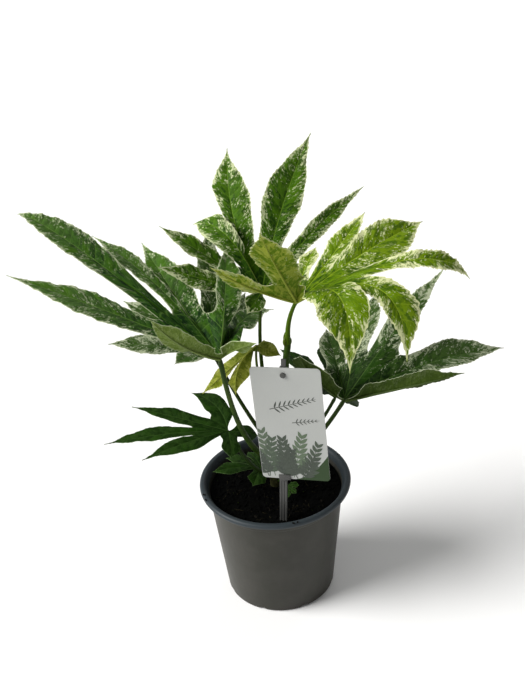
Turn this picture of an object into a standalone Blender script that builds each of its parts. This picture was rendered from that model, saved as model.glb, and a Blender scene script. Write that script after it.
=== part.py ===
"""Fatsia japonica with variegated leaves, growing in a round nursery pot with a label on a stake.

World axes: +X right, +Y back, +Z up, origin at the middle of the pot's flat bottom.
Sizes are stated in millimetres and become metres when a mesh is made.
"""

import math
from typing import NamedTuple

import bmesh
import bpy
from mathutils import Matrix, Quaternion, Vector

MM = 0.001
SEAT_GAP = 0.3
WELD = 0.01
SHARP_ANGLE = math.radians(35)

# Pot: a thin turned shell with a rounded lip, a step below it and notches round its bottom edge
POT_HEIGHT = 144.2
LIP_RADIUS = 85.0
NECK_RADIUS = 76.0
BASE_RADIUS = 62.4
FLOOR_EDGE_RADIUS = 60.4
STEP_DEPTH = 0.8
STEP_DROP = 16.0
LIP_DROP = 8.5
WALL = 1.5
ROUND_STEPS = 48
NOTCH_COUNT = 8
NOTCH_RADIUS = 9.0
NOTCH_RISE = 3.2
NOTCH_INNER = 52.0
NOTCH_LENGTH = 24.0

# Soil: fills the pot up to a little below the lip
SOIL_TOP = 131.0
SOIL_CROWN = 2.0

# Stem: one woody shoot that leans a little to the right and forward
STEM_PATH = ((0, 0, 119.5), (1, 0, 150), (5, -4, 200), (11, -9, 250), (18, -14, 295), (22, -18, 327))
STEM_RADIUS = 6.0
STEM_TAPER = (1.15, 1.1, 0.95, 0.82, 0.72, 0.66)

# Label: a card that hangs on the button of a ribbed stake
BUTTON_PLACE = Vector((14, -61, 314))
LABEL_TURN = math.radians(-17)
LABEL_LEAN = math.radians(1.7)
CARD_SPIN = math.radians(3.3)
STAKE_SPIN = math.radians(-2.3)
CARD_WIDTH = 72.0
CARD_HEIGHT = 132.0
CARD_TOP = 8.0
CARD_LEFT = -34.0
CARD_CORNER = 4.0
CARD_THICKNESS = 0.8
STAKE_WIDTH = 8.0
STAKE_THICKNESS = 2.0
STAKE_HEAD = 17.0
STAKE_FOOT = -193.0
STAKE_SLOT_HEIGHT = 24.0
RIB_WIDTH = 2.0
RIB_DEPTH = 1.0
CLIP_WIDTH = 12.5
CLIP_HEIGHT = 5.5
CLIP_THICKNESS = 1.4
BUTTON_RADIUS = 3.0
BUTTON_DEPTH = 1.6
SHANK_RADIUS = 1.8

# Blades: how each lobe is laid out from the hub to its tip
WEB_ROWS = (0.45, 0.78, 1.0)
FREE_ROWS = (0.04, 0.11, 0.2, 0.3, 0.4, 0.5, 0.6, 0.7, 0.8, 0.9, 1.0)
WIDEST_AT = 0.46
TAPER_POWER = 1.7
BASE_SHARE = 0.6
ROOM_SHARE = 0.84
BASAL_SPREAD = 0.6
ROLL_IN = 0.25
SINUS_ROUND = 0.2
TOOTH_SHARE = 0.045
BLADE_THICKNESS = 0.8
PETIOLE_STEPS = 9
PETIOLE_FLARE = 1.35
PETIOLE_NECK = 0.75
PETIOLE_END = 0.3


class Lobe(NamedTuple):
    """One finger of a leaf. Its tip is stated from the hub, and it bends and is widest at shares of its way.

    The web to its counterclockwise neighbour is longer by its web factor.
    """

    tip: tuple
    width: float
    lift: float = 0.0
    sway: float = 0.0
    roll: float = 0.0
    skew: float = 0.0
    widest: float = WIDEST_AT
    crest: float = 0.5
    web: float = 1.0


class Leaf(NamedTuple):
    """A leaf's hub, its petiole's way down to the stem, and its lobes, counterclockwise from above.

    Between its first and last lobe the blade ends in a notch, which is stated from the hub.
    """

    name: str
    hub: tuple
    seat: tuple
    bow: tuple
    petiole_radius: float
    sinus: float
    cup: float
    lobes: tuple
    notch: tuple = (0, 0, 0)


LEAVES = (
    Leaf("leaf_left_large", (-47, -45, 329), (1, 0, 168), (-30, -34, 230), 3.2, 0.32, 0.14, (
        Lobe((38, -25, 28), 24, 2, 0, 58, -0.05, 0.3, web=1.8),
        Lobe((58, 142, -24), 26, 10, 10, 0, -0.1, 0.2),
        Lobe((12, 105, 77), 28, 6, skew=-0.25, web=1.15),
        Lobe((-79, 135, 71), 36, 5, 3, 0, -0.15),
        Lobe((-129, 125, 87), 38, 12),
        Lobe((-194, 95, 128), 38, 9, 0, 8, -0.12, 0.3, 0.92),
        Lobe((-194, 10, 100), 48, 3, 0, 13, 0.15, 0.42),
        Lobe((-58, -45, 72), 26, -7, 0, -35, 0.1),
    ), (2, -10, 11)),
    Leaf("leaf_top", (-1, 38, 357), (6, -4, 212), (-6, 9, 284), 2.2, 0.28, 0.12, (
        Lobe((116, 62, 86), 18, 8, 6),
        Lobe((63, 82, 142), 40, 8, 6, 0, 0.12, 0.4),
        Lobe((-26, 77, 133), 42, 8, 9, widest=0.52),
        Lobe((-69, 62, 56), 36, 36, -4, crest=0.6),
        Lobe((-102, 27, 71), 32, 3, 2),
        Lobe((-104, -13, 43), 28, -2),
        Lobe((-17, -28, -10), 22, 4),
    )),
    Leaf("leaf_young_right", (32, -30, 378), (22, -18, 325), (24, -21, 352), 2.5, 0.38, 0.12, (
        Lobe((42, -85, -35), 48, 50, 12, 0, -0.08, 0.38),
        Lobe((97, -70, -35), 32, 50, 25, 0, 0.3, 0.5, 0.7),
        Lobe((165, -15, 19), 18, 43, 6, widest=0.5, crest=0.82),
        Lobe((130, 45, 56), 44, 12, 0, 0, -0.05, 0.55),
        Lobe((75, 60, 64), 24, 4, -3),
        Lobe((25, 55, 32), 24, 6),
        Lobe((-11, 50, 20), 24, 6),
        Lobe((-80, -20, 52), 20, -4, 0, -40),
        Lobe((-32, -55, 97), 42, 4, -3, 0, -0.05, 0.3),
    ), (6, -6, 20)),
    Leaf("leaf_right", (78, -20, 254), (1, 0, 146), (42, -6, 190), 2.8, 0.42, 0.14, (
        Lobe((114, -45, 51), 18, -1, 0, 58, -0.6),
        Lobe((175, 35, 29), 38, 14, skew=0.2),
        Lobe((118, 80, 107), 27, 6, widest=0.22),
        Lobe((49, 105, 70), 36, 6),
        Lobe((-10, 95, 34), 32, 4),
        Lobe((-46, -25, 72), 50, -6, 0, -45),
    )),
    Leaf("leaf_back_right", (72, 15, 236), (1, 0, 158), (38, 8, 186), 2.4, 0.32, 0.1, (
        Lobe((29, 25, -27), 20, 2),
        Lobe((-8, 80, 24), 30, 4),
        Lobe((-57, 55, 33), 32, 4),
        Lobe((-70, -5, 40), 30, 4),
    )),
    Leaf("leaf_low_left", (-47, -15, 221), (1, 0, 152), (-22, -14, 170), 2.4, 0.36, 0.08, (
        Lobe((-39, 45, 23), 25, 3, -9, widest=0.3),
        Lobe((-102, 20, 26), 17, 1, 0, 0, -0.2, 0.25),
        Lobe((-130, -20, 7), 18, 6, 0, 0, -0.2, 0.35),
        Lobe((-88, -50, 5), 26, 4, widest=0.12),
        Lobe((2, -30, -15), 22, 3),
        Lobe((32, 12, -18), 18, 3),
    )),
    Leaf("leaf_back_left", (-59, 45, 285), (3, -2, 182), (-26, 18, 222), 2.4, 0.35, 0.1, (
        Lobe((40, 60, 40), 28, 4),
        Lobe((2, 85, 113), 28, 4),
        Lobe((-94, 35, 52), 30, 4),
        Lobe((-109, -15, 27), 30, 3),
        Lobe((-38, -45, 14), 28, 4),
    )),
    Leaf("leaf_young_hanging", (-10, -5, 318), (7, -6, 228), (-9, -4, 275), 1.6, 0.25, 0.1, (
        Lobe((25, 18, -25), 16, 4),
        Lobe((-25, -14, -50), 24, 4, 3),
        Lobe((-61, 4, -57), 18),
    )),
    Leaf("leaf_soil_left", (-15, 8, 154), (0, 0, 137), (-6, 5, 150), 1.8, 0.36, 0.08, (
        Lobe((-14, 24, 4), 14, 2),
        Lobe((-39, 8, 9), 16, 2),
        Lobe((-54, -18, 10), 16, 3),
        Lobe((-10, -26, -7), 22, 2),
    )),
    Leaf("leaf_soil_right", (12, -20, 146), (1, -1, 138), (7, -11, 146), 1.2, 0.5, 0.06, (
        Lobe((1, -16, -4), 8, 1),
        Lobe((10, -12, -2), 7, 1),
        Lobe((14, -3, 2), 8, 1),
    )),
)

LEAF_COLORS = {
    "leaf_left_large": (0.05, 0.13, 0.035),
    "leaf_top": (0.09, 0.20, 0.05),
    "leaf_young_right": (0.24, 0.36, 0.05),
    "leaf_right": (0.06, 0.12, 0.045),
    "leaf_back_right": (0.03, 0.08, 0.03),
    "leaf_low_left": (0.03, 0.09, 0.025),
    "leaf_back_left": (0.05, 0.11, 0.04),
    "leaf_young_hanging": (0.33, 0.34, 0.06),
    "leaf_soil_left": (0.05, 0.12, 0.04),
    "leaf_soil_right": (0.06, 0.16, 0.04),
}


def clear_scene():
    """Remove every object of the open scene."""
    for old in list(bpy.data.objects):
        bpy.data.objects.remove(old, do_unlink=True)


def collection(name):
    """A new collection in the scene."""
    made = bpy.data.collections.new(name)
    bpy.context.scene.collection.children.link(made)
    return made


def material(name, color, roughness):
    """A plain Principled material."""
    made = bpy.data.materials.new(name)
    made.use_nodes = True
    shader = made.node_tree.nodes["Principled BSDF"]
    shader.inputs["Base Color"].default_value = (*color, 1)
    shader.inputs["Roughness"].default_value = roughness
    shader.inputs["Metallic"].default_value = 0
    return made


def mesh_object(name, bm, group, finish=None):
    """Turn an edit mesh in millimetres into an object in metres."""
    bmesh.ops.scale(bm, vec=Vector((MM, MM, MM)), verts=bm.verts)
    data = bpy.data.meshes.new(name)
    bm.to_mesh(data)
    bm.free()
    made = bpy.data.objects.new(name, data)
    if finish:
        data.materials.append(finish)
    group.objects.link(made)
    return made


def cutter(made):
    """Mark an object as a guide that only cuts others."""
    made.hide_render = True
    made.display_type = "WIRE"
    return made


def add_boolean(target, tool, operation):
    """Cut a tool out of an object, or join the two."""
    boolean = target.modifiers.new(operation.title(), "BOOLEAN")
    boolean.operation = operation
    boolean.solver = "EXACT"
    boolean.object = tool


def turned(name, profile, group, finish=None):
    """A profile of radius and height, outer side first from the top, turned round the Z axis."""
    bm = bmesh.new()
    points = [bm.verts.new((radius, 0, height)) for radius, height in profile]
    for first, second in zip(points, points[1:]):
        bm.edges.new((first, second))
    if profile[0][0] > 0 and profile[-1][0] > 0:
        bm.edges.new((points[-1], points[0]))
    made = mesh_object(name, bm, group, finish)
    screw = made.modifiers.new("Turn", "SCREW")
    screw.steps = ROUND_STEPS
    screw.render_steps = ROUND_STEPS
    screw.use_merge_vertices = True
    screw.merge_threshold = WELD * MM
    return made


def baked(made):
    """The evaluated mesh of an object, put in place of its modifiers."""
    graph = bpy.context.evaluated_depsgraph_get()
    data = bpy.data.meshes.new_from_object(made.evaluated_get(graph))
    made.modifiers.clear()
    made.data = data
    return made


def welded(made):
    """Close a mesh's seams, point its faces out and shade its round sides smooth."""
    baked(made)
    bm = bmesh.new()
    bm.from_mesh(made.data)
    bmesh.ops.remove_doubles(bm, verts=bm.verts, dist=WELD * MM)
    bmesh.ops.dissolve_degenerate(bm, dist=WELD * MM / 10, edges=bm.edges)
    bmesh.ops.recalc_face_normals(bm, faces=bm.faces)
    bm.to_mesh(made.data)
    bm.free()
    made.data.shade_smooth()
    made.data.set_sharp_from_angle(angle=SHARP_ANGLE)
    return made


def tube(name, path, radius, factors, sides_level, group, finish=None):
    """A tapered tube along a smooth path, as a closed mesh."""
    curve = bpy.data.curves.new(name, "CURVE")
    curve.dimensions = "3D"
    curve.bevel_depth = radius * MM
    curve.bevel_resolution = sides_level
    curve.use_fill_caps = True
    spline = curve.splines.new("POLY")
    spline.points.add(len(path) - 1)
    for point, place, factor in zip(spline.points, path, factors):
        point.co = (*(Vector(place) * MM), 1)
        point.radius = factor
    bent = bpy.data.objects.new(name + "_curve", curve)
    group.objects.link(bent)
    graph = bpy.context.evaluated_depsgraph_get()
    data = bpy.data.meshes.new_from_object(bent.evaluated_get(graph))
    data.name = name
    made = bpy.data.objects.new(name, data)
    if finish:
        data.materials.append(finish)
    group.objects.link(made)
    bpy.data.objects.remove(bent)
    return welded(made)


def wall_radius(height):
    """The pot's outer radius at a height between its bottom edge and the step."""
    rise = (height - WALL) / (POT_HEIGHT - STEP_DROP - WALL)
    return BASE_RADIUS + (NECK_RADIUS - STEP_DEPTH - BASE_RADIUS) * rise


def make_pot(group, cutters):
    """The shell, with notches cut through its bottom edge to let water out."""
    finish = material("pot_plastic", (0.075, 0.072, 0.062), 0.5)
    step_height = POT_HEIGHT - STEP_DROP
    lip_bottom = POT_HEIGHT - LIP_DROP
    profile = [
        (LIP_RADIUS - 3.2, POT_HEIGHT), (LIP_RADIUS - 1.0, POT_HEIGHT - 1.2), (LIP_RADIUS, POT_HEIGHT - 3.2),
        (LIP_RADIUS - 0.8, POT_HEIGHT - 5.2), (LIP_RADIUS - 4.5, POT_HEIGHT - 6.6), (NECK_RADIUS + 1.0, lip_bottom),
        (NECK_RADIUS, lip_bottom - 2.5), (NECK_RADIUS - 0.2, step_height + 0.8),
        (NECK_RADIUS - STEP_DEPTH, step_height), (BASE_RADIUS, WALL), (FLOOR_EDGE_RADIUS, 0), (0, 0), (0, WALL),
        (FLOOR_EDGE_RADIUS - WALL, WALL), (BASE_RADIUS - WALL, WALL * 2),
        (wall_radius(step_height) - WALL, step_height), (NECK_RADIUS - WALL, step_height + 3),
        (NECK_RADIUS - WALL + 0.3, lip_bottom), (NECK_RADIUS + 1.5, POT_HEIGHT - 3.0),
        (LIP_RADIUS - 5.6, POT_HEIGHT - 0.6),
    ]
    pot = welded(turned("pot", profile, group, finish))
    notches = bmesh.new()
    for index in range(NOTCH_COUNT):
        turn = math.tau * (index + 0.5) / NOTCH_COUNT
        place = (
            Matrix.Rotation(turn, 4, "Z")
            @ Matrix.Translation((NOTCH_INNER + NOTCH_LENGTH / 2, 0, NOTCH_RISE - NOTCH_RADIUS))
            @ Matrix.Rotation(math.pi / 2, 4, "Y")
        )
        bmesh.ops.create_cone(
            notches, cap_ends=True, segments=24, radius1=NOTCH_RADIUS, radius2=NOTCH_RADIUS,
            depth=NOTCH_LENGTH, matrix=place,
        )
    add_boolean(pot, cutter(mesh_object("pot_notches", notches, cutters)), "DIFFERENCE")
    return pot


def make_soil(group, holes):
    """The root ball, with a slightly raised middle and a hole for each thing that stands in it."""
    finish = material("soil", (0.012, 0.010, 0.008), 0.95)
    top_radius = wall_radius(SOIL_TOP) - WALL - 1.0
    foot = WALL + SEAT_GAP
    profile = [
        (0, SOIL_TOP + SOIL_CROWN), (30, SOIL_TOP + SOIL_CROWN * 0.8), (55, SOIL_TOP + SOIL_CROWN * 0.3),
        (top_radius - 1.5, SOIL_TOP), (top_radius, SOIL_TOP - 1.5),
        (BASE_RADIUS - WALL - SEAT_GAP * 2, WALL * 2 + SEAT_GAP),
        (FLOOR_EDGE_RADIUS - WALL - SEAT_GAP * 2, foot), (0, foot),
    ]
    soil = welded(turned("soil", profile, group, finish))
    for hole in holes:
        add_boolean(soil, hole, "DIFFERENCE")
    return soil


def curve_point(start, control, end, share):
    """A point on a quadratic Bezier curve."""
    return start * (1 - share) ** 2 + control * (2 * share * (1 - share)) + end * share ** 2


def lobe_normals(lobes):
    """Each lobe's own up direction, square to itself and to its neighbours."""
    tips = [Vector(lobe.tip) for lobe in lobes]
    normals = []
    for index, tip in enumerate(tips):
        total = Vector()
        if index:
            total += tips[index - 1].cross(tip).normalized()
        if index + 1 < len(tips):
            total += tip.cross(tips[index + 1]).normalized()
        normals.append(total.normalized())
    return normals


class Station(NamedTuple):
    """A place on a lobe's midrib, with the directions across and up from it."""

    place: Vector
    across: Vector
    up: Vector


def midrib(lobe, normal, shares):
    """Stations along the midrib. The up direction is carried along it without twisting."""
    tip = Vector(lobe.tip)
    side = normal.cross(tip).normalized()
    control = tip * lobe.crest + (normal * lobe.lift + side * lobe.sway) * 2
    up = (normal - control * normal.dot(control) / control.length_squared).normalized()
    last = control.normalized()
    stations = []
    for share in shares:
        along = (control * (1 - share) + (tip - control) * share).normalized()
        up = up.copy()
        up.rotate(last.rotation_difference(along))
        last = along
        turned_up = up.copy()
        turned_up.rotate(Quaternion(along, math.radians(-lobe.roll) * min(1.0, share / ROLL_IN)))
        place = curve_point(Vector(), control, tip, share)
        stations.append(Station(place, turned_up.cross(along).normalized(), turned_up))
    return stations


def half_width(widest, widest_at, base, share, row):
    """Half the width of the free part of a lobe: swelling from its base, then drawn out to a point."""
    if share <= widest_at:
        width = base + (widest - base) * math.sin(math.pi / 2 * share / widest_at)
    else:
        fall = (share - widest_at) / (1 - widest_at)
        width = widest * (1 - fall) ** TAPER_POWER * (1 + TAPER_POWER * fall)
    if 0.15 < share < 0.95:
        width *= 1 + TOOTH_SHARE * (1 if row % 2 else -1)
    return width


def side_room(place, beside):
    """How far a margin may stand from its midrib before it comes too near the next lobe."""
    if not place.length or not beside.length:
        return 0.0
    apart = min((place - beside).length / 2, place.length * math.tan(place.angle(beside) / 2))
    return apart * ROOM_SHARE


def lobe_edges(leaf, index, ribs, side):
    """The margin of one side of a lobe, from the hub to the tip."""
    lobe = leaf.lobes[index]
    widest = lobe.width / 2 * (1 + side * lobe.skew)
    stations = ribs[index]
    web = len(WEB_ROWS)
    outward = [station.across * side + station.up * leaf.cup for station in stations]
    joined = 0 <= index + side < len(leaf.lobes)
    if joined:
        edge = [Vector()]
        beside = ribs[index + side]
        web_reach = leaf.lobes[min(index, index + side)].web
        room = [side_room(one.place, two.place) for one, two in zip(stations, beside)]
        for row in range(1, web + 1):
            one, two = stations[row].place, beside[row].place
            edge.append((one + two).normalized() * min(one.length, two.length) * web_reach)
        base = min(widest * BASE_SHARE, room[web])
    else:
        edge = [Vector(leaf.notch)]
        room = [widest * 2] * len(stations)
        base = widest * 0.8
        for row, reach in enumerate(WEB_ROWS, 1):
            width = min(base * 1.1, stations[row].place.length * BASAL_SPREAD * reach)
            edge.append(stations[row].place + outward[row] * width + edge[0] * (1 - reach) ** 2)
    offset = edge[web] - (stations[web].place + outward[web] * base)
    for row, share in enumerate(FREE_ROWS[:-1], web + 1):
        drawn = max(0.0, 1 - share / SINUS_ROUND)
        fade = 1 - math.sqrt(1 - drawn ** 2)
        width = min(half_width(widest, lobe.widest, base, share, row), room[row])
        edge.append(stations[row].place + outward[row] * width + offset * fade)
    edge.append(stations[-1].place.copy())
    return edge


def blade(leaf, group, finish):
    """The leaf's blade: each half of each lobe is a strip of a grid laid on its surface."""
    ribs = []
    for lobe, normal in zip(leaf.lobes, lobe_normals(leaf.lobes)):
        shares = [0.0] + [leaf.sinus * reach for reach in WEB_ROWS]
        shares += [leaf.sinus + (1 - leaf.sinus) * share for share in FREE_ROWS]
        ribs.append(midrib(lobe, normal, shares))
    bm = bmesh.new()
    rows = len(WEB_ROWS) + len(FREE_ROWS)
    for index in range(len(leaf.lobes)):
        for side in (-1, 1):
            edge = lobe_edges(leaf, index, ribs, side)
            strip = bmesh.ops.create_grid(bm, x_segments=1, y_segments=rows, size=1)["verts"]
            for vertex in strip:
                row = round((vertex.co.y + 1) / 2 * rows)
                on_edge = (vertex.co.x > 0) == (side < 0)
                vertex.co = Vector(leaf.hub) + (edge[row] if on_edge else ribs[index][row].place)
    bmesh.ops.remove_doubles(bm, verts=bm.verts, dist=WELD)
    bmesh.ops.triangulate(bm, faces=bm.faces)
    made = mesh_object(leaf.name, bm, group, finish)
    shell = made.modifiers.new("Thickness", "SOLIDIFY")
    shell.thickness = BLADE_THICKNESS * MM
    shell.offset = 0
    return baked(made)


def petiole(leaf, group):
    """The leaf's stalk, from inside its seat on the stem to the blade's hub."""
    seat, bow, hub = Vector(leaf.seat), Vector(leaf.bow), Vector(leaf.hub)
    shares = [step / (PETIOLE_STEPS - 1) for step in range(PETIOLE_STEPS)]
    path = [curve_point(seat, bow * 2 - (seat + hub) / 2, hub, share) for share in shares]
    factors = [PETIOLE_FLARE + (PETIOLE_NECK - PETIOLE_FLARE) * math.sqrt(share) for share in shares]
    factors[-1] = PETIOLE_END
    return tube(leaf.name + "_petiole", path, leaf.petiole_radius, factors, 1, group)


def make_leaf(leaf, group, cutters, stem_guard):
    """One leaf: its blade and petiole grown together, seated against the stem."""
    finish = material(leaf.name, LEAF_COLORS[leaf.name], 0.45)
    made = blade(leaf, group, finish)
    stalk = petiole(leaf, cutters)
    add_boolean(made, stalk, "UNION")
    add_boolean(made, stem_guard, "DIFFERENCE")
    baked(made)
    bpy.data.objects.remove(stalk)
    made.data.shade_smooth()
    made.data.set_sharp_from_angle(angle=SHARP_ANGLE)


def label_frame(spin):
    """The label's plane at its button, turned by an angle within the plane."""
    return (
        Matrix.Translation(BUTTON_PLACE * MM) @ Matrix.Rotation(LABEL_TURN, 4, "Z")
        @ Matrix.Rotation(-LABEL_LEAN, 4, "X") @ Matrix.Rotation(-spin, 4, "Y")
    )


def box(bm, low, high):
    """A box between two corners."""
    size = Vector(high) - Vector(low)
    middle = (Vector(high) + Vector(low)) / 2
    bmesh.ops.create_cube(bm, size=1, matrix=Matrix.Translation(middle) @ Matrix.Diagonal((*size, 1)))


def pin(bm, radius, near, far):
    """A round pin along the label's Y axis."""
    place = Matrix.Translation((0, (near + far) / 2, 0)) @ Matrix.Rotation(math.pi / 2, 4, "X")
    bmesh.ops.create_cone(
        bm, cap_ends=True, segments=20, radius1=radius, radius2=radius, depth=abs(far - near), matrix=place,
    )


def make_clip(cutters):
    """The stake's lip under the card and the tab in front of it, which hold the card's bottom edge."""
    bottom = CARD_TOP - CARD_HEIGHT - SEAT_GAP
    stake_middle = bottom * math.sin(CARD_SPIN - STAKE_SPIN)
    left = stake_middle - STAKE_WIDTH / 2
    front = -SEAT_GAP - CLIP_THICKNESS
    lip = bmesh.new()
    box(
        lip, (left + RIB_WIDTH / 2, front, bottom - CLIP_THICKNESS),
        (left + STAKE_WIDTH - RIB_WIDTH / 2, CARD_THICKNESS + SEAT_GAP + STAKE_THICKNESS / 2, bottom),
    )
    tab = bmesh.new()
    box(tab, (left, front, bottom - CLIP_THICKNESS / 2), (left + CLIP_WIDTH, -SEAT_GAP, bottom + CLIP_HEIGHT))
    pieces = [mesh_object("clip_lip", lip, cutters), mesh_object("clip_tab", tab, cutters)]
    for piece in pieces:
        piece.matrix_world = label_frame(CARD_SPIN)
    return pieces


def make_label(group, cutters):
    """The card, and the stake with the button that it hangs on."""
    card_finish = material("label_card", (0.60, 0.61, 0.62), 0.4)
    bm = bmesh.new()
    low = (CARD_LEFT, 0, CARD_TOP - CARD_HEIGHT)
    high = (CARD_LEFT + CARD_WIDTH, CARD_THICKNESS, CARD_TOP)
    box(bm, low, high)
    corners = [edge for edge in bm.edges if abs(edge.verts[0].co.y - edge.verts[1].co.y) > CARD_THICKNESS / 2]
    bmesh.ops.bevel(
        bm, geom=corners, offset=CARD_CORNER, offset_type="OFFSET", segments=5, profile=0.5, affect="EDGES",
    )
    card = mesh_object("label_card", bm, group, card_finish)
    card.matrix_world = label_frame(CARD_SPIN)
    hole = bmesh.new()
    pin(hole, SHANK_RADIUS + SEAT_GAP, -BUTTON_DEPTH, CARD_THICKNESS + BUTTON_DEPTH)
    guide = cutter(mesh_object("card_hole", hole, cutters))
    guide.matrix_world = label_frame(CARD_SPIN)
    add_boolean(card, guide, "DIFFERENCE")

    stake_finish = material("label_stake", (0.16, 0.155, 0.165), 0.4)
    front = CARD_THICKNESS + SEAT_GAP
    bm = bmesh.new()
    box(bm, (-STAKE_WIDTH / 2, front, STAKE_FOOT), (STAKE_WIDTH / 2, front + STAKE_THICKNESS, STAKE_HEAD))
    stake = mesh_object("label_stake", bm, group, stake_finish)
    ribs = bmesh.new()
    for side in (-1, 1):
        middle = side * (STAKE_WIDTH - RIB_WIDTH) / 2
        box(
            ribs, (middle - RIB_WIDTH / 2, front + STAKE_THICKNESS / 2, STAKE_FOOT),
            (middle + RIB_WIDTH / 2, front + STAKE_THICKNESS + RIB_DEPTH, STAKE_HEAD),
        )
    pin(ribs, SHANK_RADIUS, -SEAT_GAP - BUTTON_DEPTH / 2, front + STAKE_THICKNESS / 2)
    extras = mesh_object("stake_ribs", ribs, cutters)
    head = bmesh.new()
    pin(head, BUTTON_RADIUS, -SEAT_GAP - BUTTON_DEPTH, -SEAT_GAP)
    button = mesh_object("stake_button", head, cutters)
    for piece in (stake, extras, button):
        piece.matrix_world = label_frame(STAKE_SPIN)
    joined = [extras, button] + make_clip(cutters)
    for piece in joined:
        add_boolean(stake, piece, "UNION")
    baked(stake)
    for piece in joined:
        bpy.data.objects.remove(piece)


def stake_hole(cutters):
    """A plain slot for the stake's foot in the soil."""
    bm = bmesh.new()
    half = STAKE_WIDTH / 2 + SEAT_GAP
    near = CARD_THICKNESS
    far = CARD_THICKNESS + SEAT_GAP * 2 + STAKE_THICKNESS + RIB_DEPTH
    box(bm, (-half, near, STAKE_FOOT - SEAT_GAP), (half, far, STAKE_FOOT + STAKE_SLOT_HEIGHT))
    slot = cutter(mesh_object("stake_slot", bm, cutters))
    slot.matrix_world = label_frame(STAKE_SPIN)
    return slot


def make_stem(group, cutters):
    """The stem, and the slightly fatter copies that seat the leaves and the hole in the soil."""
    finish = material("stem", (0.09, 0.12, 0.04), 0.6)
    path = [Vector(point) for point in STEM_PATH]
    tube("stem", path, STEM_RADIUS, STEM_TAPER, 3, group, finish)
    clear = Vector((0, 0, SEAT_GAP))
    wider = [factor + SEAT_GAP / STEM_RADIUS for factor in STEM_TAPER]
    guard = cutter(tube("stem_guard", path[:-1] + [path[-1] + clear], STEM_RADIUS, wider, 3, cutters))
    hole = cutter(tube("stem_hole", [path[0] - clear, path[1]], STEM_RADIUS, wider[:2], 3, cutters))
    return guard, hole


def main():
    """Build the plant and its pot."""
    clear_scene()
    group = collection("fatsia_japonica")
    cutters = collection("cutters")
    guard, hole = make_stem(group, cutters)
    make_pot(group, cutters)
    make_soil(group, (hole, stake_hole(cutters)))
    for leaf in LEAVES:
        make_leaf(leaf, group, cutters, guard)
    make_label(group, cutters)


main()
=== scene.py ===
"""Looks of a young variegated fatsia japonica in its nursery pot.

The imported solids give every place. This script replaces the leaves, the stem, the pot and the label's
stake with finer pieces of the same form, lays crumbly compost in the pot, prints a plain sprig pattern
on the label card, and gives every surface its finish. Sizes are in millimetres unless a name says more.
"""

import logging
import math
from dataclasses import dataclass
from enum import Enum

import bpy
import numpy as np
from mathutils import Euler, Matrix, Quaternion, Vector, noise


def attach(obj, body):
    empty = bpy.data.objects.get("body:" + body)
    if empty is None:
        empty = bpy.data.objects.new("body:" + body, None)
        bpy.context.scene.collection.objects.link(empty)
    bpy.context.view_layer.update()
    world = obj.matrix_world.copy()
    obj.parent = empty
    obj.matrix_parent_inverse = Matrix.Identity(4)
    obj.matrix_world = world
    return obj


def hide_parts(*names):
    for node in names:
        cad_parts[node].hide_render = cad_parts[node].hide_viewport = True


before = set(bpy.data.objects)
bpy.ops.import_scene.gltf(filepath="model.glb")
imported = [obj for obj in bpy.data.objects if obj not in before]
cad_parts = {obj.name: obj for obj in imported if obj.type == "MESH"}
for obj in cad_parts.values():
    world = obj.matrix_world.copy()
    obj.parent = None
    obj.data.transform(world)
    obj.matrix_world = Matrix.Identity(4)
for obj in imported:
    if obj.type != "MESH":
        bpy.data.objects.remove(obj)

MM = 0.001
MM_PER_CM = 10
BODY = "root"
log = logging.getLogger("fatsia")

Color = tuple[float, float, float, float]


def tone(red: int, green: int, blue: int) -> Color:
    """Turn an 8-bit display colour into the linear colour that shaders use.

    Args:
        red: Display red, 0 to 255.
        green: Display green, 0 to 255.
        blue: Display blue, 0 to 255.

    Returns:
        The linear colour with full alpha.
    """
    def linear(part: int) -> float:
        """One channel, by the display's gamma curve."""
        share = part / 255
        return share / 12.92 if share <= 0.04045 else ((share + 0.055) / 1.055) ** 2.4

    return linear(red), linear(green), linear(blue), 1.0


class Value:
    """A number in a shader, which takes part in Python expressions."""

    def __init__(self, shader: "Shader", socket: bpy.types.NodeSocket) -> None:
        """Wrap an output socket of one of the shader's nodes."""
        self.shader = shader
        self.socket = socket

    def __add__(self, other: "Value | float") -> "Value":
        """Return self + other."""
        return self.shader.math("ADD", self, other)

    def __sub__(self, other: "Value | float") -> "Value":
        """Return self - other."""
        return self.shader.math("SUBTRACT", self, other)

    def __rsub__(self, other: "Value | float") -> "Value":
        """Return other - self."""
        return self.shader.math("SUBTRACT", other, self)

    def __mul__(self, other: "Value | float") -> "Value":
        """Return self * other."""
        return self.shader.math("MULTIPLY", self, other)

    def __truediv__(self, other: "Value | float") -> "Value":
        """Return self / other."""
        return self.shader.math("DIVIDE", self, other)

    __radd__ = __add__
    __rmul__ = __mul__


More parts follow.
